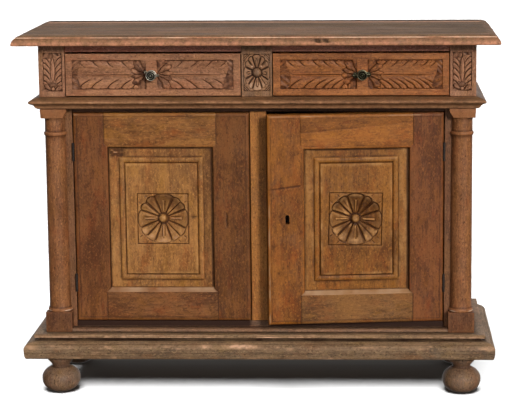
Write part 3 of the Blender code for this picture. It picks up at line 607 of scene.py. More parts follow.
def leaf(a, t, L, H, seed, upper, lower, sweep=0.16, tip=0.11, base=0.20, stop=(0.46, 0.22)):
    """Carved leaf lying along a: depth in mm, and marks of dirt and painted shade, and of rubbing and painted
    highlights.
    a runs from its stalk, 0, to its tip, L; t across it, -H to H. upper and lower: where the
    cuts between its lobes meet the edge, as shares of the length from the tip."""
    p3 = np.stack([a, t, np.zeros_like(a)], -1) / 1000
    shake = noise(p3, 0.016, seed, 2)
    b = np.abs(t) / H
    c = L - a
    h = np.zeros_like(a)
    lobe_end_highlight = np.zeros_like(a)
    for up, cuts, halt in ((True, upper, stop[0]), (False, lower, stop[1])):
        here = (t > 0) == up
        s = c - sweep * L * (np.clip(1 - b, 0, 1) / 0.7) ** 1.6 + 1.3 * shake
        p, width = cuts_between(s, [-0.12 * L] + [k * L for k in cuts] + [1.15 * L])
        near = np.minimum(p, 1 - p) * width * 0.78
        on = ease(halt, halt + 0.30, b)
        groove = (2.9 if up else 3.9) * bump(near, 0.50 + 0.95 * on) * ease(halt - 0.05, halt + 0.25, b)
        pillow = 1.7 * (1 - np.abs(2 * p - 1) ** 2.2) * on + 2.2 * (0.5 - p) * on
        second = 1.5 * bump((p - 0.56) * width * 0.78, 0.85) * ease(0.60, 0.80, b) + 0.8 * bump((p - 0.28) * width * 0.78, 0.7) * ease(0.70, 0.86, b)
        cup = -2.7 + 2.0 * ease(0.02, 0.70, b)
        ends = 0.965 - 0.10 * np.abs(2 * p - 1) ** 2.0 - 0.05 * bump(p - 0.56, 0.06) + 0.015 * shake
        out = ease(ends - 0.02, ends + 0.035, b)
        field = (cup + pillow - groove - second) * (1 - out) - 4.6 * out
        h = np.where(here, field, h)
        # lower lobe ends much paler than the upper ones: painted highlight where light falls from above
        lobe_end_highlight = np.where(here, (1 - out) * ease(0.55, 0.92, b) * ease(0.0, 0.25, p) * (1 - ease(0.65, 1.0, p)) * (0.15 if up else 1.0), lobe_end_highlight)
    # midrib: a fine cut with a rounded ridge on each side, running out towards the tip
    f = c / L
    mid = ease(tip + 0.01, tip + 0.08, f) * (1 - ease(1 - base - 0.03, 1 - base + 0.02, f))
    reach = 1.2 + 2.4 * ease(tip, 0.75, f)
    h = h + mid * (2.0 * bump(np.abs(t + 0.2) - reach * 0.75, reach * 0.55) - 3.6 * bump(t + 0.2, 0.85))
    ridge = mid * bump(np.abs(t + 0.2) - reach * 0.75, reach * 0.5)
    dark_marks = np.zeros_like(a)
    # tip: small folded facets
    warp_a, warp_t = a + 2.0 * noise(p3, 0.010, seed + 1, 2), t + 2.4 * noise(p3, 0.010, seed + 2, 2)
    fold = np.abs(((warp_t + 0.9 * warp_a + 7 * seed) % 17) - 8.5) / 8.5
    other = np.abs(((warp_t * 1.1 - 0.8 * warp_a + 5 * seed) % 23) - 11.5) / 11.5
    front = c < L * tip * (0.90 + 0.30 * np.cos(t / H * 2.6 + 0.4 * seed) + 0.12 * shake)
    curl = -4.2 + 2.4 * np.where(t > -1, fold, other) + 1.2 * shake - 1.8 * bump(t, 1.2)
    h = np.where(front, curl, h - 1.8 * bump((c - L * tip * (0.90 + 0.30 * np.cos(t / H * 2.6 + 0.4 * seed))), 1.2) * (b < 0.9))
    dark_marks = np.where(front, 0.60 + 0.55 * noise(p3, 0.008, seed + 6, 2), dark_marks)
    # stalk end: curled leaflets out of a dark hollow
    A = L * base
    wa, wt = a + 3.0 * noise(p3, 0.013, seed + 3, 2), t + 3.4 * noise(p3, 0.013, seed + 4, 2)
    r = np.hypot(wa + 0.05 * A, wt * 0.80) / A
    th = np.degrees(np.arctan2(wt, wa + 0.05 * A))
    leaflet = np.abs(((th + 14 + 9 * np.sin(seed) + 6 * np.sin(np.radians(3 * th))) % 28) - 14) / 14
    arc = np.pi / 180 * 14 * np.maximum(r, 0.05) * A
    edge = 0.98 + 0.10 * np.cos(np.pi * leaflet) + 0.08 * shake
    small = -3.6 + 2.2 * (1 - leaflet ** 2) + 1.3 * ease(0.35, 0.85, r) - 2.4 * bump((1 - leaflet) * arc, 1.3) - 1.3 * bump(leaflet * arc, 0.8) * ease(0.45, 0.65, r)
    small = small - 2.2 * ease(edge - 0.12, edge, r)
    h = np.where(r < edge, small, h - 2.2 * bump((r - edge) * A, 1.6))
    dark_marks = np.where(r < edge, 0.74 + 0.22 * ease(0.7, 0.15, r) + 0.55 * noise(p3, 0.009, seed + 7, 2), dark_marks)
    plain = front | (r < edge)
    # leaflets at the stalk made paler: painted highlight
    lit = (r < edge) * ease(0.50, 0.85, r) * (1 - leaflet ** 2) * np.clip(2.0 * noise(p3, 0.012, seed + 9, 2) + 0.05, 0, 1)
    dark_marks = dark_marks * (1 - 0.8 * lit)
    # upper half darkened towards its border: painted shadow of the sunk edge
    dark_marks = np.maximum(dark_marks, np.where(t > 0, 0.34 * ease(0.66, 0.98, b), 0.0))
    return -h, np.clip(dark_marks, 0, 1), np.where(plain, 1.5 * lit, np.clip(0.95 * lobe_end_highlight + 1.0 * ridge, 0, 1))


def scribe(d, width, depth):
    """A cut line at distance d (mm)."""
    return depth * bump(d, width)


def sunk_border(a, t, L, H):
    """Distance inside a carved rectangle, in mm, negative outside."""
    return np.minimum(np.minimum(a, L - a), H - np.abs(t))


DRAWER_CUTS = dict(upper=(0.09, 0.28, 0.47, 0.665, 0.85), lower=(0.09, 0.257, 0.473, 0.655, 0.81, 0.92))
FINER_CUTS = (
    dict(upper=(0.10, 0.25, 0.43, 0.56, 0.70, 0.85), lower=(0.12, 0.30, 0.45, 0.56, 0.67, 0.78, 0.90)),
    dict(upper=(0.08, 0.20, 0.33, 0.46, 0.60, 0.74, 0.87), lower=(0.07, 0.16, 0.26, 0.36, 0.46, 0.56, 0.66, 0.76, 0.87)),
)


def drawer_relief(seed, cuts):
    def relief(X, Z):
        depth, grime_and_shade, wear_and_highlight = np.zeros_like(X), np.zeros_like(X), np.zeros_like(X)
        for k, ((x0, x1), flip) in enumerate(((LEAF_IN, True), (LEAF_OUT, False))):
            L, H = (x1 - x0) * 1000, (LEAF_Z1 - LEAF_Z0) * 500
            a = (x1 - X) * 1000 if flip else (X - x0) * 1000
            t = (Z - (LEAF_Z0 + LEAF_Z1) / 2) * 1000
            inside = sunk_border(a, t, L, H)
            carved, dark_marks, rub = leaf(a, t, L, H, seed + 3 * k, **cuts[k])
            # the carving dies out in a cut line all round
            edge = ease(-0.2, 1.6, inside)
            depth = np.where(inside > -2.5, carved * edge + scribe(inside - 0.3, 1.0, 1.2), depth)
            grime_and_shade = np.where(inside > 0, dark_marks, grime_and_shade)
            wear_and_highlight = np.where(inside > 0, rub, wear_and_highlight)
        hollow, proud = shape_marks(depth / 1000, 0.0009, 0.0042, 0.0016, 0.0014)
        p = np.stack([X, np.zeros_like(X), Z], -1)
        grime_and_shade = np.maximum(grime_and_shade * np.clip(0.8 + 0.9 * noise(p, 0.02, seed + 8, 2), 0, 1.3), hollow * 0.9)
        wear_and_highlight = np.maximum(wear_and_highlight, proud * 0.5 * (wear_and_highlight > 0)) * np.clip(0.7 + 0.7 * noise(p, 0.02, seed, 2), 0, 1)
        return depth / 1000, np.clip(grime_and_shade, 0, 1), wear_and_highlight
    return relief


def corner_relief(mirror):
    x0, x1, z0, z1 = 0.5978, 0.6558, 0.9564, 1.0747
    cuts = (0.10, 0.25, 0.40, 0.56, 0.72, 0.86)

    def relief(X, Z):
        X = np.abs(X)
        L, H = (z1 - z0) * 1000, (x1 - x0) * 500
        a = (Z - z0) * 1000
        t = (X - (x0 + x1) / 2) * 1000 * (-1 if mirror else 1)
        inside = sunk_border(a, t, L, H)
        carved, dark_marks, rub = leaf(a, t, L, H, 4.0, cuts, cuts, sweep=0.15, tip=0.13, base=0.24, stop=(0.20, 0.20))
        # a long pod down the middle with a cut beside its ridge
        s = (a / L - 0.55) / 0.33
        pod_w = 6.6 * np.clip(1 - s * s, 0, 1) ** 0.75
        on = (np.abs(s) < 1) & (np.abs(t) < pod_w)
        pod = 1.3 - 2.2 * (np.abs(t) / np.maximum(pod_w, 0.3)) ** 2 - 2.6 * bump(t + 1.7, 0.75)
        carved = np.where(on, -pod, carved + 2.8 * bump(np.abs(t) - pod_w, 1.2) * (np.abs(s) < 1))
        rub = np.where(on & (t > -0.8), 0.9, rub)
        dark_marks = np.where(on, 0.0, dark_marks * 0.6)
        # knot and bead at the bottom
        knot = np.hypot(t / 12.5, (a - 20.0) / 7.0)
        carved = np.where(knot < 1, 1.2 + 2.0 * knot ** 2 + 1.3 * bump(np.abs(t) - 5.0, 1.1), carved)
        dark_marks = np.where(knot < 1, 0.88 - 0.4 * bump(np.abs(t) - 5.0, 2.0), dark_marks)
        rub = np.where(knot < 1, 0.0, rub)
        rb = np.hypot(t, a - 7.2)
        carved = np.where(rb < 8.0, np.maximum(carved, 4.4), carved)
        carved = np.where(rb < 5.4, -(-4.0 + 4.6 * np.sqrt(np.clip(1 - (rb / 5.4) ** 2, 0, 1))), carved)
        rub = np.where(rb < 5.0, 1.0, rub)
        dark_marks = np.where(rb < 5.0, 0.0, dark_marks)
        depth = np.where(inside > -2.0, carved * ease(-0.2, 1.2, inside) + scribe(inside - 0.2, 1.0, 1.2), 0.0)
        hollow, proud = shape_marks(depth / 1000, 0.0008, 0.0034, 0.0014, 0.0012)
        inner = inside > 0
        return depth / 1000, np.clip(np.maximum(dark_marks * inner, hollow), 0, 1), np.maximum(rub * 0.8, proud * 0.6) * inner
    return relief


def center_relief(X, Z):
    dx, dz = X * 1000, (Z - 1.0132) * 1000
    inside = np.minimum(40.5 - np.abs(dx), 56.8 - np.abs(dz))
    carved = rosette(dx, dz, 39.0, 55.0, 13.0, 1.0, 7.0)
    # leaves in the corners
    corner = ease(1.05, 1.2, np.hypot(dx / 39.0, dz / 55.0))
    carved = carved + 1.6 * corner + 1.4 * corner * np.cos((np.abs(dx) + np.abs(dz)) * 0.9)
    depth = np.where(inside > -2.0, carved * ease(-0.2, 1.4, inside) + scribe(inside - 0.3, 1.1, 1.8), 0.0)
    grime_and_shade, wear_and_highlight = shape_marks(depth / 1000, 0.0008, 0.0034, 0.0012, 0.0010)
    rb = np.hypot(dx, dz)
    grime_and_shade = np.maximum(grime_and_shade, bump(rb - 15.6, 2.6))
    wear_and_highlight = wear_and_highlight * 0.9 * (inside > 0) * (rb > 15)
    # painted highlights: curls beside the boss and the lower petals made pale
    curl = bump(np.hypot(np.abs(dx) - 13.5, dz - 18.5), 4.6)
    low = ease(-14, -34, dz) * (np.hypot(dx / 39.0, dz / 55.0) < 0.96)
    return depth / 1000, grime_and_shade * (1 - 0.8 * curl), np.maximum(np.maximum(wear_and_highlight, 2.0 * curl), 1.25 * low * (1 - grime_and_shade))


def panel_relief(seed, spin, worn, shaded, lift, half):
    """Door panel below FIELD_Y - 5 mm: flat border, quirked bead, raised field with its rosette."""
    def relief(X, Z):
        d = np.minimum(np.minimum(X - FIELD_X0, FIELD_X1 - X), np.minimum(Z - FIELD_Z0 - lift, FIELD_Z1 + lift - Z)) * 1000
        # d: mm inside the field's edge; the bead lies from -1.5 to -18.5, the border outside that
        depth = np.where(d >= 0, 0.0, 5.8)
        depth = np.where((d < 0) & (d > -20.0), 5.6, depth)
        round_edge = np.clip(1.8 - d, 0, 1.8)
        depth = np.where(d >= 0, 1.8 - np.sqrt(np.maximum(1.8 ** 2 - round_edge ** 2, 0)), depth)
        c = (d + 10.4) / 8.2
        bead = 5.9 - 4.3 * np.sqrt(np.clip(1 - np.abs(c) ** 2.2, 0, 1))
        depth = np.where((d < -2.2) & (d > -18.6), np.minimum(depth, bead), depth)
        depth = depth + 1.0 * bump(d + 1.1, 0.8) + 1.2 * bump(d + 19.4, 0.9)
        depth = np.where(d < -20.2, 7.0 + 0.035 * (-20.2 - d), depth)
        dx, dz = (X - ROSETTE_X) * 1000, (Z - ROSETTE_Z - lift) * 1000
        c, s = math.cos(spin), math.sin(spin)
        rx, rz = dx * c + dz * s, -dx * s + dz * c
        inside = half - np.maximum(np.abs(rx), np.abs(rz))
        carved = rosette(rx, rz, half - 1.8, half - 1.8, 13.5, seed, 11.0)
        flower = np.where(inside > -3, carved * ease(0.0, 2.5, inside) + scribe(inside, 1.25, 2.8), 0.0)
        depth = depth + flower
        grime_and_shade, wear_and_highlight = shape_marks(depth / 1000, 0.0011, 0.0045, 0.0014, 0.0011)
        p = np.stack([X, np.zeros_like(X), Z], -1)
        wear_and_highlight = wear_and_highlight * np.clip(0.45 + 0.9 * noise(p, 0.03, int(seed * 10), 2), 0, 1)
        rr = np.hypot(rx, rz) / (half - 1.8)
        # painted shade over the rosette's upper half, and a painted shadow crescent under its upper rim
        upward = np.clip(-rz / (half * 0.8), -1, 1) * (rr < 1.0) * ease(0.22, 0.4, rr)
        grime_and_shade = np.maximum(grime_and_shade, (0.50 if worn else 0.66) * np.clip(upward * -1 + 0.30, 0, 1) * (rr < 1.0))
        grime_and_shade = np.maximum(grime_and_shade, (0.72 if worn else 0.95) * ease(0.72, 0.86, rr) * (rr < 1.03) * np.clip(1.9 * rz / half - 0.1, 0, 1))
        grime_and_shade = np.maximum(grime_and_shade, bump(np.hypot(rx, rz) - 17.2, 3.4))
        grime_and_shade = np.maximum(grime_and_shade, 0.95 * bump(inside, 1.35))
        grime_and_shade = np.maximum(grime_and_shade, 0.75 * bump(rr - 1.0, 0.022))
        spread = np.abs(((np.degrees(np.arctan2(rz, rx)) + 45) % 90) - 45)
        apart = np.where(spread < 22, 1 - (spread / 22) ** 3, 1 - (np.abs(spread - 33.5) / 11.5) ** 2.5)
        grime_and_shade = np.maximum(grime_and_shade, 0.85 * ease(0.45, 0.10, apart) * ease(0.40, 0.55, rr) * (rr < 0.98))
        grime_and_shade = np.maximum(grime_and_shade, (0.44 if not worn else 0.34) * (rr < 1.0))
        run = ease(0.27, 0.34, rr) * (1 - ease(0.72, 0.78, rr)) * (spread < 22)
        across = np.sin(np.radians(spread)) * np.hypot(rx, rz)
        stick = bump(across, 2.3) * run
        grime_and_shade = np.maximum(grime_and_shade * (1 - stick), 0.9 * bump(across - 4.8, 1.4) * run)
        # painted highlight on the upward-facing ends of the lower petals
        wear_and_highlight = np.maximum(wear_and_highlight, 2.2 * np.clip(1.6 * upward - 0.05, 0, 1) * ease(0.50, 0.92, rr) * ease(1.0, 0.95, rr) * np.clip(apart, 0, 1) * (1 - grime_and_shade) * np.clip(0.85 + 0.7 * noise(p, 0.012, int(seed * 10) + 8, 2), 0, 1))
        wear_and_highlight = np.maximum(wear_and_highlight, ((1.75 if worn else 1.25) - 0.35 * ease(0, 40, rz)) * stick)
        # the boss paler towards its lit side: its own tone and painted highlight
        wear_and_highlight = np.maximum(wear_and_highlight * (np.hypot(rx, rz) > 15.0), 0.98 * ease(13.0, 8.0, np.hypot(rx - 1.5, rz - 2.0)))
        # painted shade along the opening's edges, under the top rail and down the shaded side, and painted highlights
        # on the border's sides
        o = np.minimum(np.minimum(X - OPEN_X0, OPEN_X1 - X), np.minimum(Z - OPEN_Z0, OPEN_Z1 - Z)) * 1000
        lines_d = bump(d + 1.4, 1.6) + bump(d + 19.4, 1.8) + bump(d + 10.4, 7.0)
        grime_and_shade = np.where(inside < -3, grime_and_shade * (1 - 0.10 * np.clip(lines_d, 0, 1)) * np.clip(0.85 + 0.6 * noise(p, 0.03, int(seed * 10) + 3, 2), 0, 1), grime_and_shade)
        grime_and_shade = np.maximum(grime_and_shade, np.clip(1.15 * ease(4.5, 1.0, o), 0, 1))
        wear_and_highlight = np.where(inside < -3, wear_and_highlight * (1 - 0.65 * bump(d + 10.4, 8.2)), wear_and_highlight)
        beside = np.minimum(X - OPEN_X0, OPEN_X1 - X) * 1000
        border = (d < -20.9) & (beside < 34)
        # painted highlight on the border beside the stiles
        border_highlight = np.where(X < ROSETTE_X, 0.0 if worn else 0.6, 0.5 if worn else 0.6)
        wear_and_highlight = np.where(border, np.maximum(wear_and_highlight, border_highlight * ease(4, 8, beside) * np.clip(0.55 + 0.9 * noise(p, (0.012, 1, 0.05), int(seed * 10) + 5, 3), 0, 1)), wear_and_highlight)
        # painted shade under the top rail and inside the shaded side
        grime_and_shade = np.where((d < -20.9) & (OPEN_Z1 - Z < 0.030), np.maximum(grime_and_shade, 0.22 * np.clip(0.7 + 0.9 * noise(p, (0.05, 1, 0.008), int(seed * 10) + 6, 3), 0, 1)), grime_and_shade)
        grime_and_shade = np.maximum(grime_and_shade, ease(10.5, 6.0, np.minimum(shaded(X), OPEN_Z1 - Z + 0.002) * 1000))
        if worn:
            # painted shade on the border's shaded side, and the field paler towards the top, darker towards the bottom
            grime_and_shade = np.where(border & (X < ROSETTE_X), np.maximum(grime_and_shade, 0.42 * np.clip(0.8 + 0.6 * noise(p, (0.012, 1, 0.05), 79, 3), 0, 1)), grime_and_shade)
            wear_and_highlight = np.maximum(wear_and_highlight, 0.22 * ease(0.60, 0.70, Z) * (d > 3) * (inside < -3))
            grime_and_shade = np.maximum(grime_and_shade, 0.10 * ease(0.46, 0.36, Z) * (inside < -3))
            # a weathered corner, and a small bruise beside the field's edge
            spot = ease(0.060, 0.040, OPEN_X1 - X) * ease(0.038, 0.026, OPEN_Z1 - Z)
            rough = np.clip(0.85 + 1.1 * noise(p, (0.012, 1, 0.006), 77, 3), 0, 1)
            wear_and_highlight = np.maximum(wear_and_highlight * (1 - spot), 1.7 * spot * (rough < 0.35))
            grime_and_shade = np.maximum(grime_and_shade, spot * rough)
            depth = depth + 1.6 * spot * rough
            bruise = np.maximum(bump(X - 0.2036, 0.0058) * bump(Z - 0.5588, 0.0070), bump(X - 0.2010, 0.0115) * bump(Z - 0.5600, 0.0026))
            wear_and_highlight = wear_and_highlight * (1 - bruise)
            grime_and_shade = np.maximum(grime_and_shade, bruise)
            depth = depth + 1.0 * bruise
        return depth / 1000, grime_and_shade, wear_and_highlight
    return relief


# ------------------------------------------------------------------ tones (0-255)
T_TOP = (126, 92, 57)
# edge of the top: rubbed wood, and painted light on its front-facing face
T_EDGE_WORN_AND_LIT = (222, 150, 112)
T_DRAWER_L = (156, 107, 76)
T_DRAWER_R = (154, 95, 51)
T_BLOCK = (156, 110, 81)
# rail tone raised to offset the shade under the top's overhang: painted light
T_RAIL_LIFTED = (182, 125, 105)
T_WAIST = (117, 83, 54)
T_COLUMN = (140, 91, 56)
T_CENTER = (140, 100, 69)
T_CENTER_STILE = (163, 106, 50)
T_SILL = (128, 93, 67)
T_BASE = (136, 107, 76)
T_FOOT = (134, 100, 73)
T_INNER = (140, 108, 76)

# ----------------------------------------------------------------------- top
def build_top():
    t = TOP_Z1 - TOP_Z0
    drip = -0.0085
    raw = [(0.0360, t), (0.0270, t - 0.0008), (0.0190, t - 0.0028), (0.0140, t - 0.0050), (0.0132, t - 0.0060), (0.0128, t - 0.0084), (0.0112, t - 0.0088), (0.0086, t - 0.0104), (0.0048, t - 0.0142), (0.0020, t - 0.0188), (0.0005, t - 0.0234), (0.0002, t - 0.0268), (0.0014, t - 0.0302), (0.0048, drip),
           (0.0300, drip), (0.0330, 0.0), (0.0400, 0.0)]
    profile = smooth_profile(raw, 4, sharp=(0, 5, 13, 14, 15, 16))
    marks = profile_marks(profile, 0.0022)
    nx, ny = 246, 88
    u, v = np.linspace(-1, 1, nx), np.linspace(0, 1, ny)
    rows, cavs, wears = [], [], []
    for (o, h), m in zip(profile, marks):
        w, front = TOP_HALF - o, TOP_FRONT + o
        y = TOP_BACK + (front - TOP_BACK) * v
        left = np.stack([np.full(ny, -w), y, np.full(ny, TOP_Z0 + h)], 1)
        mid = np.stack([u * w, np.full(nx, front), np.full(nx, TOP_Z0 + h)], 1)
        right = np.stack([np.full(ny, w), y[::-1], np.full(ny, TOP_Z0 + h)], 1)
        row = np.concatenate([left, mid[1:-1], right])
        rows.append(row)
        cavs.append(np.full(len(row), np.clip(-m / 0.0004, 0, 1)))
        wears.append(np.full(len(row), np.clip(m / 0.0004, 0, 1)))
    strip, grime_and_shade, wear_and_highlight = np.array(rows), np.array(cavs), np.array(wears)
    n = noise(strip, 0.03, 31, 3)
    height = ((profile[:, 1] - drip) / (t - drip))[:, None]
    # the front edge takes the lighter edge colour: partly rubbing, partly painted light on the front-facing fascia
    wear_and_highlight = np.clip(0.32 + 0.30 * n + 0.55 * ease(0.50, 0.22, height), 0.05, 1) * (1 - 0.75 * ease(0.82, 0.90, height))
    # painted highlight line along the fillet
    wear_and_highlight = np.maximum(wear_and_highlight, 2.0 * bump(height - 0.775, 0.045) * np.clip(0.85 + 0.5 * noise(strip, 0.06, 33, 2), 0.5, 1))
    grime_and_shade = grime_and_shade * (1 - ease(0.82, 0.90, height))
    grime_and_shade = np.maximum(grime_and_shade, 0.42 * ease(0.46, 0.60, height) * ease(0.73, 0.70, height) * np.clip(0.8 + 0.6 * n, 0.3, 1))
    # dents and rubbed-down places along the edge
    push = np.clip(noise(strip, 0.022, 32, 2) - 0.30, 0, 1) * 0.0022
    push = push * (ease(0.0, 0.15, height) * ease(0.80, 0.65, height)) ** 0.7
    away = np.zeros_like(strip)
    ny0 = ny - 1
    away[:, :ny0, 0], away[:, ny0:-ny0, 1], away[:, -ny0:, 0] = 1, 1, -1
    strip = strip + away * push[..., None]
    for x, size, deep in ((0.189, 0.0080, 0.0050), (0.2145, 0.0075, 0.0048), (-0.43, 0.008, 0.0014), (0.52, 0.010, 0.0016)):
        here = bump(strip[..., 0] - x + 0.6 * (strip[..., 2] - TOP_Z0 - 0.0060), size) * ease(-0.15, -0.24, strip[..., 1]) * ease(0.0075, 0.0035, np.abs(strip[..., 2] - TOP_Z0 - 0.0060))
        strip[..., 1] += deep * here
        if deep > 0.003:
            grime_and_shade = np.maximum(grime_and_shade, np.clip(2.6 * here, 0, 1))
            wear_and_highlight = wear_and_highlight * (1 - np.clip(2.6 * here, 0, 1))
    edge = grid_patch(strip, grime_and_shade, wear_and_highlight)
    w, front = TOP_HALF - profile[0][0], TOP_FRONT + profile[0][0]
    X, V = np.meshgrid(u * w, v, indexing="ij")
    Y = TOP_BACK + (front - TOP_BACK) * V
    P = np.stack([X, Y, np.full_like(X, TOP_Z1)], -1)
    dip = 0.0004 * (0.5 + 0.5 * noise(P, 0.25, 35, 2))
    cavt = np.zeros_like(X)
    for joint in (-0.085, 0.095):
        here = bump(Y - joint, 0.0028)
        dip = dip + 0.0006 * here
        cavt = np.maximum(cavt, 0.6 * here)
    border = np.minimum(np.minimum(u[:, None] + 1, 1 - u[:, None]), np.minimum(V, 1 - V))
    P[..., 2] -= dip * (border > 1e-6)
    wear_t = np.clip(0.3 + 0.8 * noise(P, 0.05, 36, 3), 0, 1) * ease(0.03, 0.0, Y - front) * 0.8
    band = noise(P, (0.9, 0.055, 1), 37, 3)
    cavt = np.maximum(cavt, 0.42 * np.clip(-1.6 * band - 0.05, 0, 1))
    wear_t = np.maximum(wear_t, 0.30 * np.clip(1.6 * band, 0, 1))
    back_line = TOP_BACK - Y
    cavt = np.maximum(cavt, 0.95 * ease(0.046, 0.026, back_line))
    wear_t = np.maximum(wear_t * (back_line > 0.045), 1.35 * bump(back_line - 0.072, 0.017))
    top = grid_patch(P, cavt, wear_t)
    lo = strip[-1]
    under = fan(lo)
    first = strip[:, 0]
    last = strip[:, -1]
    back_top = P[:, 0]
    loop = np.concatenate([first, last[::-1], back_top[-2:0:-1]])
    back = polygon(loop)
    return [edge, top, under, back]


make("top_board", build_top(), wood("wood_top", T_TOP, "X", 3, contrast=1.9, grey=0.24, rub=1.0, rough=0.55, worm=0.3, dark_marks=0.45, rubbed_and_lit=T_EDGE_WORN_AND_LIT, patch=1.0, bare=(255, 224, 192)), sharp=50)

# --------------------------------------------------------------------- frieze
CARVED = dict(cavity=1.0, rub=0.95, rough=0.46, bare=(232, 198, 166))
for side, sign in (("right", 1), ("left", -1)):
    block = relief_block(BLOCK_IN, FACE_X, FRIEZE_Z0, TOP_Z0 - GAP, FACE_Y, STILE_BACK - GAP, corner_relief(sign < 0), 0.0008, 0.0016, 41)
    if sign < 0:
        block = mirror_patches(block)
    make(f"frieze_block_{side}", block, wood(f"wood_block_{side}", T_BLOCK, "Z", 7 if sign > 0 else 8, **CARVED), sharp=60)
center = relief_block(-CENTER_HALF, CENTER_HALF, FRIEZE_Z0, RAIL_Z0 - GAP, FACE_Y, STILE_BACK - GAP, center_relief, 0.0008, 0.0014, 43)
center += relief_block(-CENTER_HALF, CENTER_HALF, RAIL_Z0 - 0.002, TOP_Z0 - GAP, FACE_Y, RAIL_Y - GAP, lambda X, Z: (np.zeros_like(X), np.zeros_like(X), np.zeros_like(X)), 0.003, 0.0010, 44)
make("frieze_block_center", center, wood("wood_block_center", T_CENTER, "Z", 9, grey=0.25, **CARVED), sharp=60)
make("frieze_rail", rounded_board(-(BLOCK_IN - GAP), BLOCK_IN - GAP, RAIL_Y, RAIL_Y + 0.036, RAIL_Z0, TOP_Z0 - GAP, 0.0018, 0.012, 45), wood("wood_frieze_rail", T_RAIL_LIFTED, "X", 10, contrast=0.8, red=0.3), sharp=40)
make("drawer_divider", rounded_board(-0.009, 0.009, STILE_BACK + GAP, CARCASS_BACK - 0.0105, FRIEZE_Z0, TOP_Z0 - GAP, 0.001, 0.03, 46), wood("wood_divider", T_INNER, "Y", 11), sharp=40)


# ------------------------------------------------------------------- mouldings
def front_moulding(profile, shoulder, seed, stations=300, chips=0.0, flats=0, rubs=False, soil_and_shade=None):
    """profile: closed outline as (projection, height), inner points first and last."""
    marks = profile_marks(profile, 0.0035)
    s = np.linspace(-1, 1, stations)
    P = np.zeros((stations, len(profile), 3))
    for k, (o, z) in enumerate(profile):
        P[:, k, 0] = s * (FACE_X + max(o, shoulder))
        P[:, k, 1] = FACE_Y - o
        P[:, k, 2] = z
    return finish_moulding(P, marks, (0, -1, 0), seed, chips, flats, rubs, soil_and_shade)


def side_moulding(profile, seed, stations=90, chips=0.0, flats=0, rubs=False, soil_and_shade=None):
    marks = profile_marks(profile, 0.0035)
    s = np.linspace(0, 1, stations)
    P = np.zeros((stations, len(profile), 3))
    for k, (o, z) in enumerate(profile):
        front = FACE_Y - o + 2 * GAP
        P[:, k, 0] = FACE_X + o
        P[:, k, 1] = front + s * (CARCASS_BACK - front)
        P[:, k, 2] = z
    return finish_moulding(P, marks, (1, 0, 0), seed, chips, flats, rubs, soil_and_shade)


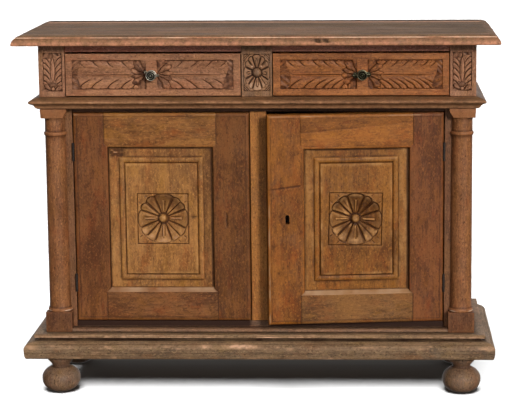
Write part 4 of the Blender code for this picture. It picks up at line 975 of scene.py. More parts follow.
def finish_moulding(P, marks, out, seed, chips, flats, rubs, soil_and_shade):
    n, m = P.shape[:2]
    proud = np.clip(-marks / 0.00045, 0, 1)
    hollow = np.clip(marks / 0.00045, 0, 1)
    proud[:flats] = proud[m - flats:] = 0
    hollow[:flats] = hollow[m - flats:] = 0
    moved = np.ones(m)
    moved[:max(flats, 1)] = 0
    moved[m - max(flats, 1):] = 0
    uneven = noise(P, (0.09, 0.09, 0.03), seed, 2)
    dent = np.clip(noise(P, 0.020, seed + 1, 2) - 0.28, 0, 1)
    chip = np.clip(noise(P, (0.028, 0.028, 0.010), seed + 2, 2) - 0.34, 0, 1)
    inward = (0.0003 * (0.5 + 0.5 * uneven) + 0.0016 * dent * proud[None] + chips * chip * proud[None]) * moved[None]
    ends = ease(0, 3, np.arange(n)) * ease(0, 3, np.arange(n)[::-1])
    P = P - np.array(out) * (inward * ends[:, None])[..., None]
    rub = np.clip(0.5 + 0.9 * noise(P, (0.06, 0.06, 0.02), seed + 3, 3), 0, 1)
    wear_and_highlight = proud[None] * rub + np.clip(chip * 3.0, 0, 1.0) * np.clip(2 * proud, 0, 1)[None]
    if rubs:
        bare = np.clip(noise(P, (0.10, 0.10, 0.016), seed + 6, 3) * 2.6 - 0.55, 0, 1) * np.clip(noise(P, 0.012, seed + 7, 3) * 2 + 0.7, 0, 1)
        wear_and_highlight = np.maximum(wear_and_highlight, 0.7 * bare * moved[None] * (1 - hollow[None]))
        for x, z, half, tall, much in ((-0.168, 0.165, 0.020, 0.0058, 1.7), (-0.048, 0.166, 0.050, 0.0062, 1.9), (-0.285, 0.166, 0.018, 0.0030, 1.0), (0.06, 0.165, 0.018, 0.0030, 1.0), (-0.71, 0.162, 0.022, 0.0090, 1.2), (0.715, 0.162, 0.016, 0.0080, 1.0), (0.33, 0.164, 0.03, 0.0028, 1.0)):
            spot = bump(P[..., 0] - x, half) * bump(P[..., 2] - z, tall) * (P[..., 1] < FACE_Y - LEDGE_OUT)
            wear_and_highlight = np.maximum(wear_and_highlight, np.clip(much * spot * (1.15 + 1.2 * noise(P, (0.012, 0.012, 0.006), seed + 9, 3)), 0, much))
        # broken lower edge of the ledge
        lip = bump(P[..., 2] - (BASE_Z1 - 0.0080), 0.0040) * (np.abs(P[..., 1 if out[1] else 0]) > (-FACE_Y if out[1] else FACE_X) + 0.024)
        broken = np.clip(noise(P, (0.075, 0.075, 0.03), seed + 10, 3) * 3.0 + 0.45, 0, 1) * np.clip(noise(P, 0.011, seed + 11, 2) * 2.0 + 0.95, 0, 1)
        for x, half in ((-0.60, 0.075), (-0.235, 0.036), (0.035, 0.046)):
            broken = np.maximum(0.75 * broken if x < -0.5 else broken, bump(P[..., 0] - x, half) * np.clip(1.0 + 0.9 * noise(P, 0.014, seed + 13, 2), 0, 1))
        broken = broken * lip
        wear_and_highlight = np.maximum(wear_and_highlight, 2.0 * broken)
        P = P - np.array(out) * (0.0032 * broken * ends[:, None])[..., None]
    else:
        # waist: the underside painted paler to lift its shade, and the nose paler, from rubbing and painted highlight
        nose = bump(P[..., 2] - WAIST_Z1 + 0.0128, 0.0026)
        wear_and_highlight = np.maximum(wear_and_highlight, 0.8 * ease(WAIST_Z1 - 0.0195, WAIST_Z1 - 0.0225, P[..., 2]) * moved[None])
        wear_and_highlight = np.maximum(wear_and_highlight, 1.3 * nose * np.clip(0.5 + 1.1 * noise(P, (0.07, 0.07, 0.02), seed + 12, 3), 0, 1))
    grime_and_shade = hollow[None] * np.clip(0.75 + 0.6 * noise(P, 0.05, seed + 4, 2), 0, 1)
    if soil_and_shade is not None:
        grime_and_shade = np.maximum(grime_and_shade, soil_and_shade[None] * np.clip(0.85 + 0.7 * noise(P, (0.06, 0.06, 0.02), seed + 8, 3), 0.15, 1))
    if rubs:
        grime_and_shade = grime_and_shade * (1 - np.clip(1.5 * broken, 0, 1)) * (1 - 0.9 * np.clip(wear_and_highlight - 1, 0, 1))
    skin = Patch(P, [quads(n, m, True)], grime_and_shade, np.clip(wear_and_highlight, 0, 2) * (1 - 0.9 * grime_and_shade))
    return [skin, polygon(P[0]), polygon(P[-1][::-1])]


def waist_profile(inner):
    z0, z1, o = WAIST_Z0, WAIST_Z1, WAIST_OUT
    raw = [(0.0, z1 - 0.0002), (0.006, z1 - 0.0012), (o - 0.0085, z1 - 0.0068), (o - 0.0040, z1 - 0.0088), (o - 0.0038, z1 - 0.0100), (o - 0.0008, z1 - 0.0112), (o, z1 - 0.0140),
           (o - 0.0008, z1 - 0.0172), (o - 0.0042, z1 - 0.0190), (o - 0.0048, z1 - 0.0202), (o - 0.0085, z1 - 0.0212), (o - 0.0140, z1 - 0.0250), (o - 0.0175, z1 - 0.0300), (o - 0.0185, z0 + 0.0030), (o - 0.0222, z0 + 0.0022), (o - 0.024, z0)]
    curve = smooth_profile(raw, 4, sharp=(0, 3, 4, 8, 9, 13, 14, 15))
    return curve, inner, z0, z1


def closed_profile(curve, inner, z0, z1, shoulder=None):
    head, tail = [(inner, z1)], [(inner, z0)]
    if shoulder is not None and inner < shoulder:
        head.append((shoulder, z1))
        tail.insert(0, (shoulder, z0))
    return np.array(head + [tuple(c) for c in curve] + tail)


WALL_SHOULDER = WALL_X - FACE_X + GAP
curve, inner, z0, z1 = waist_profile(FACE_Y - STILE_BACK + GAP)
WAIST_WOOD = dict(contrast=1.1, rub=1.0, cavity=0.36, grey=0.08, red=0.15, rubbed_and_lit=(186, 130, 90), bare=(204, 156, 118))
make("waist_front", front_moulding(closed_profile(curve, inner, z0, z1, WALL_SHOULDER - GAP), WALL_SHOULDER - GAP, 51, 320, 0.0016, 2), wood("wood_waist", T_WAIST, "X", 12, **WAIST_WOOD), sharp=50)
for side, sign in (("right", 1), ("left", -1)):
    patches = side_moulding(closed_profile(curve, WALL_SHOULDER, z0, z1), 53, 90, 0.0016, 1)
    if sign < 0:
        patches = mirror_patches(patches)
    make(f"waist_{side}", patches, wood(f"wood_waist_{side}", T_WAIST, "Y", 13, **WAIST_WOOD), sharp=50)


def base_profile():
    z0, z1, o = BASE_Z0, BASE_Z1, BASE_OUT
    e = LEDGE_OUT
    raw = [(0.0040, z1), (0.0120, z1), (e - 0.0025, z1), (e - 0.0006, z1 - 0.0008), (e, z1 - 0.0026), (e - 0.0004, z1 - 0.0088), (e - 0.0024, z1 - 0.0104),
           (e - 0.0110, z1 - 0.0120), (e - 0.0130, z1 - 0.0150), (e - 0.0080, z1 - 0.0178), (e + 0.0050, z1 - 0.0196),
           (o - 0.0120, z1 - 0.0236), (o - 0.0100, z1 - 0.0250), (o - 0.0040, z1 - 0.0296), (o - 0.0006, z1 - 0.0356), (o, z1 - 0.0420), (o - 0.0002, z1 - 0.0500), (o - 0.0010, z1 - 0.0580),
           (o - 0.0024, z1 - 0.0655), (o - 0.0056, z1 - 0.0708), (o - 0.0105, z1 - 0.0726), (o - 0.0155, z1 - 0.0708), (o - 0.0185, z1 - 0.0670), (o - 0.0200, z0)]
    return smooth_profile(raw, 8, sharp=(0, 1, 2, 7, 11, 12, 23)), BASE_IN, z0, z1


def base_soil_and_shade(profile):
    """Darkening along the base: painted shade in the undercut under the ledge, darker behind the ledge, fine dark lines
    along the moulding, and the lower half a little darker.
    """
    o, z = profile[:, 0], profile[:, 1] - BASE_Z1
    # painted shade in the undercut under the ledge
    soil_and_shade = ease(0.0400, 0.0300, o) * (z < -0.0108) * (z > -0.0215) * (o > 0.015)
    soil_and_shade = np.maximum(soil_and_shade, 0.75 * ease(0.0125, 0.0030, o) * (z > -0.001) * (o > 0))
    for at, width, much in ((-0.0252, 0.0009, 0.75), (-0.0290, 0.0008, 0.50), (-0.0330, 0.0008, 0.45), (-0.0372, 0.0008, 0.40), (-0.0418, 0.0009, 0.55), (-0.0465, 0.0008, 0.40), (-0.0520, 0.0010, 0.85), (-0.0560, 0.0008, 0.40), (-0.0610, 0.0008, 0.35)):
        soil_and_shade = np.maximum(soil_and_shade, much * bump(z - at, width) * (o > 0.04))
    return np.maximum(soil_and_shade, 0.12 * (z < -0.0450) * (o > 0.04))


curve, inner, z0, z1 = base_profile()
BASE_WOOD = dict(contrast=1.4, grey=0.22, rub=1.1, cavity=1.05, rough=0.55, dark_marks=0.45, rubbed_and_lit=(190, 146, 110), bare=(228, 180, 146))
BASE_OUTLINE = closed_profile(curve, inner, z0, z1)
make("base_front", front_moulding(BASE_OUTLINE, -1.0, 61, 420, 0.0060, 1, True, base_soil_and_shade(BASE_OUTLINE)), wood("wood_base", T_BASE, "X", 14, **BASE_WOOD), sharp=50)
for side, sign in (("right", 1), ("left", -1)):
    patches = side_moulding(BASE_OUTLINE, 63, 100, 0.0060, 1, True, base_soil_and_shade(BASE_OUTLINE))
    if sign < 0:
        patches = mirror_patches(patches)
    make(f"base_{side}", patches, wood(f"wood_base_{side}", T_BASE, "Y", 15, **BASE_WOOD), sharp=50)

# -------------------------------------------------------------------- carcass
make("dust_board", rounded_board(-INSIDE, INSIDE, STILE_BACK + 3 * GAP, CARCASS_BACK - 0.0105, WAIST_Z1 - 0.017, WAIST_Z1, 0.001, 0.05, 71), wood("wood_dust", T_INNER, "X", 16), sharp=40)
make("bottom_board", rounded_board(-INSIDE, INSIDE, STILE_BACK + GAP, CARCASS_BACK - 0.0105, PLINTH_Z0, PLINTH_Z0 + 0.018, 0.001, 0.05, 72), wood("wood_bottom", T_INNER, "X", 17), sharp=40)
make("back_panel", rounded_board(-INSIDE, INSIDE, CARCASS_BACK - 0.010, CARCASS_BACK - 0.0005, PLINTH_Z0, TOP_Z0 - GAP, 0.001, 0.04, 73), wood("wood_back", (124, 98, 72), "X", 18, grey=0.35, rough=0.7, contrast=1.1), sharp=40)
for side, sign in (("right", 1), ("left", -1)):
    panel = rounded_board(WALL_X - WALL_T, WALL_X, STILE_BACK + GAP, CARCASS_BACK, PLINTH_Z0, TOP_Z0 - GAP, 0.0014, 0.02, 74)
    stile = rounded_board(STILE_IN, WALL_X - GAP, STILE_Y, STILE_BACK, PLINTH_Z0, WAIST_Z0 - GAP, 0.0016, 0.012, 75)
    if sign < 0:
        panel, stile = mirror_patches(panel), mirror_patches(stile)
    make(f"side_panel_{side}", panel, wood(f"wood_side_{side}", (132, 92, 62), "Z", 19 + sign, contrast=0.95), sharp=40)
    make(f"front_stile_{side}", stile, wood(f"wood_front_stile_{side}", (120, 80, 52), "Z", 23 + sign), sharp=40)
make("center_stile", rounded_board(-CENTER_STILE_HALF, CENTER_STILE_HALF, STILE_Y, STILE_Y + 0.021, SILL_Z1 + GAP, HEAD_Z0 - GAP, 0.0014, 0.010, 76), wood("wood_center_stile", T_CENTER_STILE, "Z", 25), sharp=40)
make("head_rail", rounded_board(-(STILE_IN - GAP), STILE_IN - GAP, STILE_Y, STILE_BACK, HEAD_Z0, WAIST_Z0 - GAP, 0.0012, 0.015, 77), wood("wood_head_rail", (92, 60, 42), "X", 26), sharp=40)


def build_sill():
    rail = rounded_board(-(STILE_IN - GAP), STILE_IN - GAP, STILE_Y - 0.002, STILE_BACK, PLINTH_Z0, SILL_Z1, 0.001, 0.012, 78)
    raw = [(STILE_Y - GAP, PLINTH_Z0), (FACE_Y + 0.0035, PLINTH_Z0), (FACE_Y + 0.0008, PLINTH_Z0 + 0.0016), (FACE_Y, PLINTH_Z0 + 0.0040), (FACE_Y + 0.0012, BEAD_Z1 - 0.0036),
           (FACE_Y + 0.0040, BEAD_Z1 - 0.0010), (FACE_Y + 0.0080, BEAD_Z1), (STILE_Y - GAP, BEAD_Z1 + 0.0004)]
    for p in rail:
        # rail face in the gap under the doors darkened: painted shade with some dirt, lighter under the centre stile
        p.grime_and_shade = np.maximum(p.grime_and_shade, np.where(np.abs(p.v[:, 0]) < CENTER_STILE_HALF + 0.002, 0.35, 0.97) * (p.v[:, 2] > BEAD_Z1 - 0.004))
        p.wear_and_highlight = p.wear_and_highlight * (p.v[:, 2] < BEAD_Z1 - 0.004)
    profile = smooth_profile(raw, 4, sharp=(0, 1, 6, 7))
    s = lines(-0.5872, 0.5872, 0.006)
    P = np.zeros((len(s), len(profile), 3))
    P[..., 0] = s[:, None]
    P[..., 1] = profile[None, :, 0]
    P[..., 2] = profile[None, :, 1]
    lip = bump(np.arange(len(profile)) - len(profile) * 0.62, 4.0)
    chip = np.clip(noise(P, (0.03, 0.01, 0.01), 79, 2) - 0.3, 0, 1) * lip[None]
    P[..., 1] += 0.0030 * chip * (P[..., 1] < STILE_Y - 0.004)
    P[..., 2] -= 0.0010 * chip
    rub = lip[None] * np.clip(0.5 + 0.9 * noise(P, (0.05, 0.02, 0.02), 80, 3), 0, 1)
    # bead darker towards the rail: painted shade in the gap under the doors
    grime_and_shade = np.broadcast_to(ease(STILE_Y - 0.010, STILE_Y - 0.001, P[..., 1]) * 0.9, rub.shape)
    return rail + [Patch(P, [quads(len(s), len(profile), True)], grime_and_shade, rub), polygon(P[0]), polygon(P[-1][::-1])]


make("sill_moulding", build_sill(), wood("wood_sill", T_SILL, "X", 27, grey=0.25, rub=0.9, dark_marks=0.45, cavity=1.3), sharp=50)


# -------------------------------------------------------------------- columns
def turned(profile, cx, cy, steps, seed, cut=None, dents=0.0006):
    """Turned piece on an upright axis; cut: the plane y = cut takes its back off."""
    heights = profile[:, 1]
    marks = profile_marks(profile[:, ::1], 0.004)
    m = len(profile)
    if cut is None:
        th = np.linspace(0, 2 * np.pi, steps, endpoint=False)[None].repeat(m, 0)
    else:
        a = np.arcsin(np.clip((cy - cut) / np.maximum(profile[:, 0], 1e-4), -0.9, 0.9))
        th = (-np.pi + a)[:, None] + (np.pi - 2 * a)[:, None] * np.linspace(0, 1, steps)[None]
    r = profile[:, 0][:, None].repeat(steps, 1)
    P = np.stack([cx + r * np.cos(th), cy + r * np.sin(th), heights[:, None].repeat(steps, 1)], -1)
    proud, hollow = np.clip(marks / 0.0005, 0, 1), np.clip(-marks / 0.0005, 0, 1)
    uneven = 0.0003 * (0.5 + 0.5 * noise(P, (0.05, 0.05, 0.2), seed, 2))
    dent = dents * np.clip(noise(P, 0.018, seed + 1, 2) - 0.3, 0, 1) * (0.4 + 2.2 * proud[:, None])
    r = np.maximum(r - uneven - dent, 0.0004)
    P[..., 0], P[..., 1] = cx + r * np.cos(th), cy + r * np.sin(th)
    if cut is not None:
        P[..., 1] = np.minimum(P[..., 1], cut)
    wear_and_highlight = proud[:, None] * np.clip(0.5 + 0.9 * noise(P, 0.03, seed + 2, 3), 0, 1)
    grime_and_shade = np.broadcast_to(hollow[:, None], wear_and_highlight.shape) * np.clip(0.8 + 0.5 * noise(P, 0.03, seed + 3, 2), 0, 1)
    skin = Patch(P, [quads(m, steps, True)], grime_and_shade, wear_and_highlight)
    return [skin, fan(P[0]), fan(P[-1][::-1])]


def build_column():
    x, y, flat = COLUMN_X, COLUMN_Y, STILE_Y - GAP
    b = PLINTH_Z1
    raw = [(0.0370, b - 0.002), (0.0372, b + 0.0004), (0.0384, b + 0.0022), (0.0386, b + 0.0052), (0.0380, b + 0.0082), (0.0366, b + 0.0094), (0.0364, b + 0.0104), (0.0352, b + 0.0130), (0.0344, b + 0.0190),
           (0.0340, b + 0.0300), (0.0339, 0.36), (0.0338, 0.45), (0.0336, 0.54), (0.0333, 0.63), (0.0329, 0.72), (0.0326, 0.78), (0.0325, 0.8130), (0.0334, 0.8150), (0.0336, 0.8166), (0.0352, 0.8178),
           (0.0366, 0.8204), (0.0368, 0.8228), (0.0365, 0.8256), (0.0350, 0.8280), (0.0336, 0.8290), (0.0326, 0.8300), (0.0325, 0.8340), (0.0325, 0.8480), (0.0325, 0.8640), (0.0330, 0.8690), (0.0346, 0.8722), (0.0348, CAPITAL_Z0 + 0.004)]
    profile = smooth_profile(raw, 4, sharp=(5, 6, 18, 24))
    tall = []
    for a, c in zip(profile, profile[1:]):
        n = max(1, int(np.ceil((c[1] - a[1]) / 0.008)))
        tall += [a + (c - a) * k / n for k in range(n)]
    shaft = turned(np.array(tall + [profile[-1]]), x, y, 64, 81, cut=flat)
    rim = np.maximum(bump(shaft[0].v[:, 2] - b - 0.0085, 0.0022), 0.8 * bump(shaft[0].v[:, 2] - 0.8225, 0.0030))
    shaft[0].wear_and_highlight = np.maximum(shaft[0].wear_and_highlight, rim * np.clip(0.8 + 0.8 * noise(shaft[0].v, 0.02, 87, 2), 0, 1))
    shaft[0].wear_and_highlight = np.maximum(shaft[0].wear_and_highlight, 2.0 * bump(shaft[0].v[:, 2] - b - 0.0034, 0.0026) * np.clip(0.75 + 0.9 * noise(shaft[0].v, 0.02, 88, 2), 0.2, 1))
    foot_dirt = np.maximum(bump(shaft[0].v[:, 2] - b - 0.0125, 0.0034), np.maximum(bump(shaft[0].v[:, 2] - 0.8305, 0.0022), bump(shaft[0].v[:, 2] - 0.8158, 0.0022)))
    shaft[0].grime_and_shade = np.maximum(shaft[0].grime_and_shade, 0.8 * foot_dirt)
    plinth = rounded_board(x - 0.041, FACE_X, FACE_Y, flat, PLINTH_Z0, PLINTH_Z1, 0.0018, 0.006, 83, wear_and_highlight=0.8, chips=0.0012)
    inner, top = x - 0.040, WAIST_Z0 - GAP
    capital = rounded_board(inner, FACE_X, FACE_Y, flat, CAPITAL_Z0, top, 0.0016, 0.005, 84, wear_and_highlight=0.8, chips=0.0008)
    for p in capital:
        s = ease(CAPITAL_Z0, top - 0.0085, p.v[:, 2])
        share = (FACE_X - p.v[:, 0]) / (FACE_X - inner)
        p.v[:, 0] += 0.011 * (1 - s) * share - 0.001 * (1 - s) * (1 - share)
        deep = (flat - p.v[:, 1]) / (flat - FACE_Y)
        p.v[:, 1] += 0.003 * (1 - s) * deep
        p.grime_and_shade = np.maximum(p.grime_and_shade, 0.5 * ease(top - 0.004, top, p.v[:, 2]))
    for p in plinth:
        p.grime_and_shade = np.maximum(p.grime_and_shade, 0.72)
    for p in capital:
        p.wear_and_highlight = np.maximum(p.wear_and_highlight, 0.85)
    return shaft + plinth + capital


for side, sign in (("right", 1), ("left", -1)):
    patches = build_column()
    if sign < 0:
        patches = mirror_patches(patches)
    make(f"column_{side}", patches, wood(f"wood_column_{side}", T_COLUMN, "Z", 31 + sign, contrast=1.05, rub=0.95, rough=0.42, bare=(228, 200, 172)), sharp=45)


# ----------------------------------------------------------------------- feet
def build_foot(y, seed):
    top = BASE_Z0 - GAP
    raw = [(0.0240, 0.0), (0.0262, 0.0006), (0.0365, 0.0042), (0.0484, 0.0120), (0.0572, 0.0245), (0.0600, 0.0392), (0.0578, 0.0540), (0.0492, 0.0664), (0.0372, 0.0752), (0.0304, 0.0790), (0.0288, 0.0806),
           (0.0284, 0.0832), (0.0288, 0.0856), (0.0308, 0.0895), (0.0350, 0.0945), (0.0392, 0.0990), (0.0408, 0.1010), (0.0416, 0.1040), (0.0418, 0.1070), (0.0418, 0.1150), (0.0418, top)]
    profile = smooth_profile(raw, 4, sharp=(0, 9, 16, 20))
    return turned(profile, FOOT_X, y, 72, seed, dents=0.0010)


for end, y in (("front", FOOT_FRONT), ("back", FOOT_BACK)):
    for side, sign in (("right", 1), ("left", -1)):
        patches = build_foot(y, 91)
        if sign < 0:
            patches = mirror_patches(patches)
        # back feet get a darker tone than the front ones: painted shade
        make(f"foot_{end}_{side}", patches, wood(f"wood_foot_{end}_{side}", T_FOOT if end == "front" else (84, 62, 46), "Z", 41 + sign + (3 if end == "back" else 0), grey=0.3, rub=0.85, dark_marks=0.5), sharp=45)

# -------------------------------------------------------------------- drawers
KNOB_STEEL = metal("metal_knob_left", (0.15, 0.14, 0.11), (0.31, 0.29, 0.235), 0.36, 3)
KNOB_BRONZE = metal("metal_knob_right", (0.050, 0.046, 0.026), (0.12, 0.11, 0.066), 0.40, 5)


def build_knob(wing, wing_highlight=0.0):
    f = -DRAWER_FRONT
    raw = [(0.0002, f - 0.0010), (0.0120, f - 0.0010), (0.0150, f + 0.0004), (0.0160, f + 0.0014), (0.0154, f + 0.0028), (0.0120, f + 0.0034), (0.0108, f + 0.0042), (0.0100, f + 0.0052), (0.0068, f + 0.0078), (0.0061, f + 0.0105),
           (0.0064, f + 0.0132), (0.0090, f + 0.0162), (0.0136, f + 0.0182), (0.0156, f + 0.0208), (0.0157, f + 0.0228), (0.0149, f + 0.0250), (0.0136, f + 0.0258), (0.0122, f + 0.0246), (0.0114, f + 0.0218),
           (0.0104, f + 0.0206), (0.0094, f + 0.0218), (0.0087, f + 0.0250), (0.0076, f + 0.0262), (0.0064, f + 0.0250), (0.0057, f + 0.0222), (0.0048, f + 0.0212), (0.0040, f + 0.0226), (0.0034, f + 0.0262), (0.0020, f + 0.0282), (0.0002, f + 0.0288)]
    profile = smooth_profile(raw, 3, sharp=(0, 1))
    marks = profile_marks(profile, 0.0018)
    steps = 56
    th = np.linspace(0, 2 * np.pi, steps, endpoint=False)
    P = np.zeros((len(profile), steps, 3))
    P[..., 0] = KNOB_X + profile[:, :1] * np.cos(th)
    P[..., 2] = KNOB_Z + profile[:, :1] * np.sin(th)
    P[..., 1] = -profile[:, 1:]
    proud, hollow = np.clip(marks / 0.0002, 0, 1), np.clip(-marks / 0.0002, 0, 1)
    patches = [Patch(P, [quads(len(profile), steps, True)], np.repeat(hollow, steps), np.repeat(proud, steps)), fan(P[0]), fan(P[-1][::-1])]
    # a chased leaf on either side of the rose
    for direction in wing:
        angle, length, half = direction
        s = np.linspace(0, 1, 25)
        c = np.linspace(-1, 1, 17)
        S, C = np.meshgrid(s, c, indexing="ij")
        width = half * (0.35 + 0.65 * np.sin(np.pi * np.clip(S * 0.86 + 0.10, 0, 1)) ** 0.8) * (1 - 0.20 * np.abs(np.sin(S * np.pi * 3.0)) * (np.abs(C) > 0.5))
        width = width * np.sqrt(np.clip(1 - ease(0.86, 1.02, S) ** 2, 0.02, 1))
        along = 0.010 + S * (length - 0.010)
        across = C * width
        lift = 0.0030 * np.sqrt(np.clip(1 - np.abs(C) ** 2.5, 0, 1)) * (1 - 0.35 * S) + 0.0010 * bump(C, 0.16) - 0.0009 * bump(np.abs(C) - 0.38, 0.12) + 0.0012 * ease(0.75, 0.95, S)
        lift = np.maximum(lift, 0.0) * (np.abs(C) < 0.999)
        ca, sa = math.cos(angle), math.sin(angle)
        Q = np.zeros(S.shape + (3,))
        Q[..., 0] = KNOB_X + along * ca - across * sa
        Q[..., 2] = KNOB_Z + along * sa + across * ca
        Q[..., 1] = DRAWER_FRONT - 0.0006 - lift
        under = Q.copy()
        under[..., 1] = DRAWER_FRONT + 0.0006
        a, b = S.shape
        grime_and_shade = bump(np.abs(C) - 0.38, 0.14)
        # a pale line down each wing; the left knob's wings painted pale all over: painted highlight
        rub = np.maximum(bump(C, 0.2), wing_highlight)
        n = a * b
        top_f = quads(a, b)
        low_f = top_f[:, ::-1] + n
        index = np.arange(n).reshape(a, b)
        rim = np.concatenate([index[:, 0], index[-1, 1:], index[-2::-1, -1], index[0, -2:0:-1]])
        wall = np.stack([rim, np.roll(rim, -1), np.roll(rim, -1) + n, rim + n], 1)
        patches.append(Patch(np.concatenate([Q.reshape(-1, 3), under.reshape(-1, 3)]), [top_f, low_f, wall], np.concatenate([grime_and_shade.ravel(), np.zeros(n)]), np.concatenate([rub.ravel(), np.zeros(n)])))
    return patches


def drawer(side):
    sign = 1 if side == "right" else -1
    flip = (lambda p: p) if sign > 0 else mirror_patches
    behind = DRAWER_FRONT + DRAWER_FRONT_T + GAP
    x0, x1, t = DRAWER_X0 + 0.0068, DRAWER_X1 - 0.0068, DRAWER_SIDE_T
    front = relief_block(DRAWER_X0, DRAWER_X1, DRAWER_Z0, DRAWER_Z1, DRAWER_FRONT, DRAWER_FRONT + DRAWER_FRONT_T, drawer_relief(2.0 if sign > 0 else 5.0, FINER_CUTS if sign > 0 else (DRAWER_CUTS, DRAWER_CUTS)), 0.0009, 0.0016, 101 + sign)
    make(f"drawer_{side}_front", flip(front), wood(f"wood_drawer_{side}", T_DRAWER_R if sign > 0 else T_DRAWER_L, "X", 51 + sign, contrast=1.0, cavity=1.0, rub=0.9, rough=0.45), sharp=60)
    inner = wood(f"wood_drawer_inner_{side}", T_INNER, "Y", 55 + sign, rough=0.65)
    back = wood(f"wood_drawer_back_{side}", T_INNER, "X", 58 + sign, rough=0.65)
    make(f"drawer_{side}_side_inner", flip(rounded_board(x0, x0 + t, behind, DRAWER_BACK, DRAWER_SIDE_Z0, DRAWER_SIDE_Z1, 0.001, 0.02, 103)), inner, sharp=40)
    make(f"drawer_{side}_side_outer", flip(rounded_board(x1 - t, x1, behind, DRAWER_BACK, DRAWER_SIDE_Z0, DRAWER_SIDE_Z1, 0.001, 0.02, 104)), inner, sharp=40)
    make(f"drawer_{side}_back", flip(rounded_board(x0 + t + GAP, x1 - t - GAP, DRAWER_BACK - t, DRAWER_BACK, DRAWER_SIDE_Z0 + 0.010, DRAWER_SIDE_Z1, 0.001, 0.02, 105)), back, sharp=40)
    make(f"drawer_{side}_bottom", flip(rounded_board(x0 + t + GAP, x1 - t - GAP, behind, DRAWER_BACK - t - GAP, DRAWER_SIDE_Z0 + 0.006, DRAWER_SIDE_Z0 + 0.013, 0.0006, 0.04, 106)), back, sharp=40)
    if sign > 0:
        knob = build_knob(((math.radians(2), 0.027, 0.0095), (math.radians(184), 0.030, 0.0100)))
    else:
        knob = mirror_patches(build_knob(((math.radians(30), 0.0265, 0.0046), (math.radians(184), 0.0265, 0.0046)), 1.0))
    make(f"drawer_{side}_knob", knob, KNOB_BRONZE if sign > 0 else KNOB_STEEL, sharp=50)


drawer("left")
drawer("right")

# ---------------------------------------------------------------------- doors
THUMB_W, THUMB_H = 0.0110, 0.0058


def thumb(d):
    """Drop of the rounded moulding along a door's outer edge, d from that edge."""
    s = np.clip(1 - d / THUMB_W, 0, 1)
    return np.where(d < THUMB_W, 0.0009 + THUMB_H * (1 - np.sqrt(np.clip(1 - s ** 2, 0, 1))), 0.0)


EDGE_LINES = [0.0004, 0.0012, 0.0024, 0.0040, 0.0060, 0.0085, THUMB_W - 0.0002, THUMB_W + 0.0003]


def slab(fronts, y_back):
    """Front patches (welded by position) carried straight back to y_back."""
    verts = np.concatenate([p.v for p in fronts])
    grime_and_shade = np.concatenate([p.grime_and_shade for p in fronts])
    wear_and_highlight = np.concatenate([p.wear_and_highlight for p in fronts])
    offset, faces = 0, []
    for p in fronts:
        faces.append(p.f[0] + offset)
        offset += len(p.v)
    faces = np.concatenate(faces)
    key = np.round(verts * 1e6).astype(np.int64)
    _, first, inverse = np.unique(key, axis=0, return_index=True, return_inverse=True)
    verts, grime_and_shade, wear_and_highlight, faces = verts[first], grime_and_shade[first], wear_and_highlight[first], inverse.ravel()[faces]
    edges = np.concatenate([faces[:, [k, (k + 1) % 4]] for k in range(4)])
    n = len(verts)
    code = edges.min(1) * n + edges.max(1)
    _, at, count = np.unique(code, return_index=True, return_counts=True)
    rim = edges[at[count == 1]]
    back = verts.copy()
    back[:, 1] = y_back
    walls = np.stack([rim[:, 1], rim[:, 0], rim[:, 0] + n, rim[:, 1] + n], 1)
    return [Patch(np.concatenate([verts, back]), [faces, faces[:, ::-1] + n, walls], np.concatenate([grime_and_shade, grime_and_shade * 0]), np.concatenate([wear_and_highlight, wear_and_highlight * 0]))]


def lip_drop(s, kind):
    """Edge round the panel opening: a chamfer on the bottom rail, a rounded arris elsewhere."""
    if kind == "bottom_rail":
        return 0.0005 * ease(0.0, 0.03, s) + (BEVEL_DROP - 0.0005) * s
    turn = np.clip((s - 0.62) / 0.38, 0, 1)
    return BEVEL_DROP * (1 - np.sqrt(1 - turn ** 2.6))


LIP = np.array([0.0, 0.03, 0.08, 0.2, 0.4, 0.6, 0.7, 0.78, 0.85, 0.9, 0.94, 0.97, 0.99, 1.0])


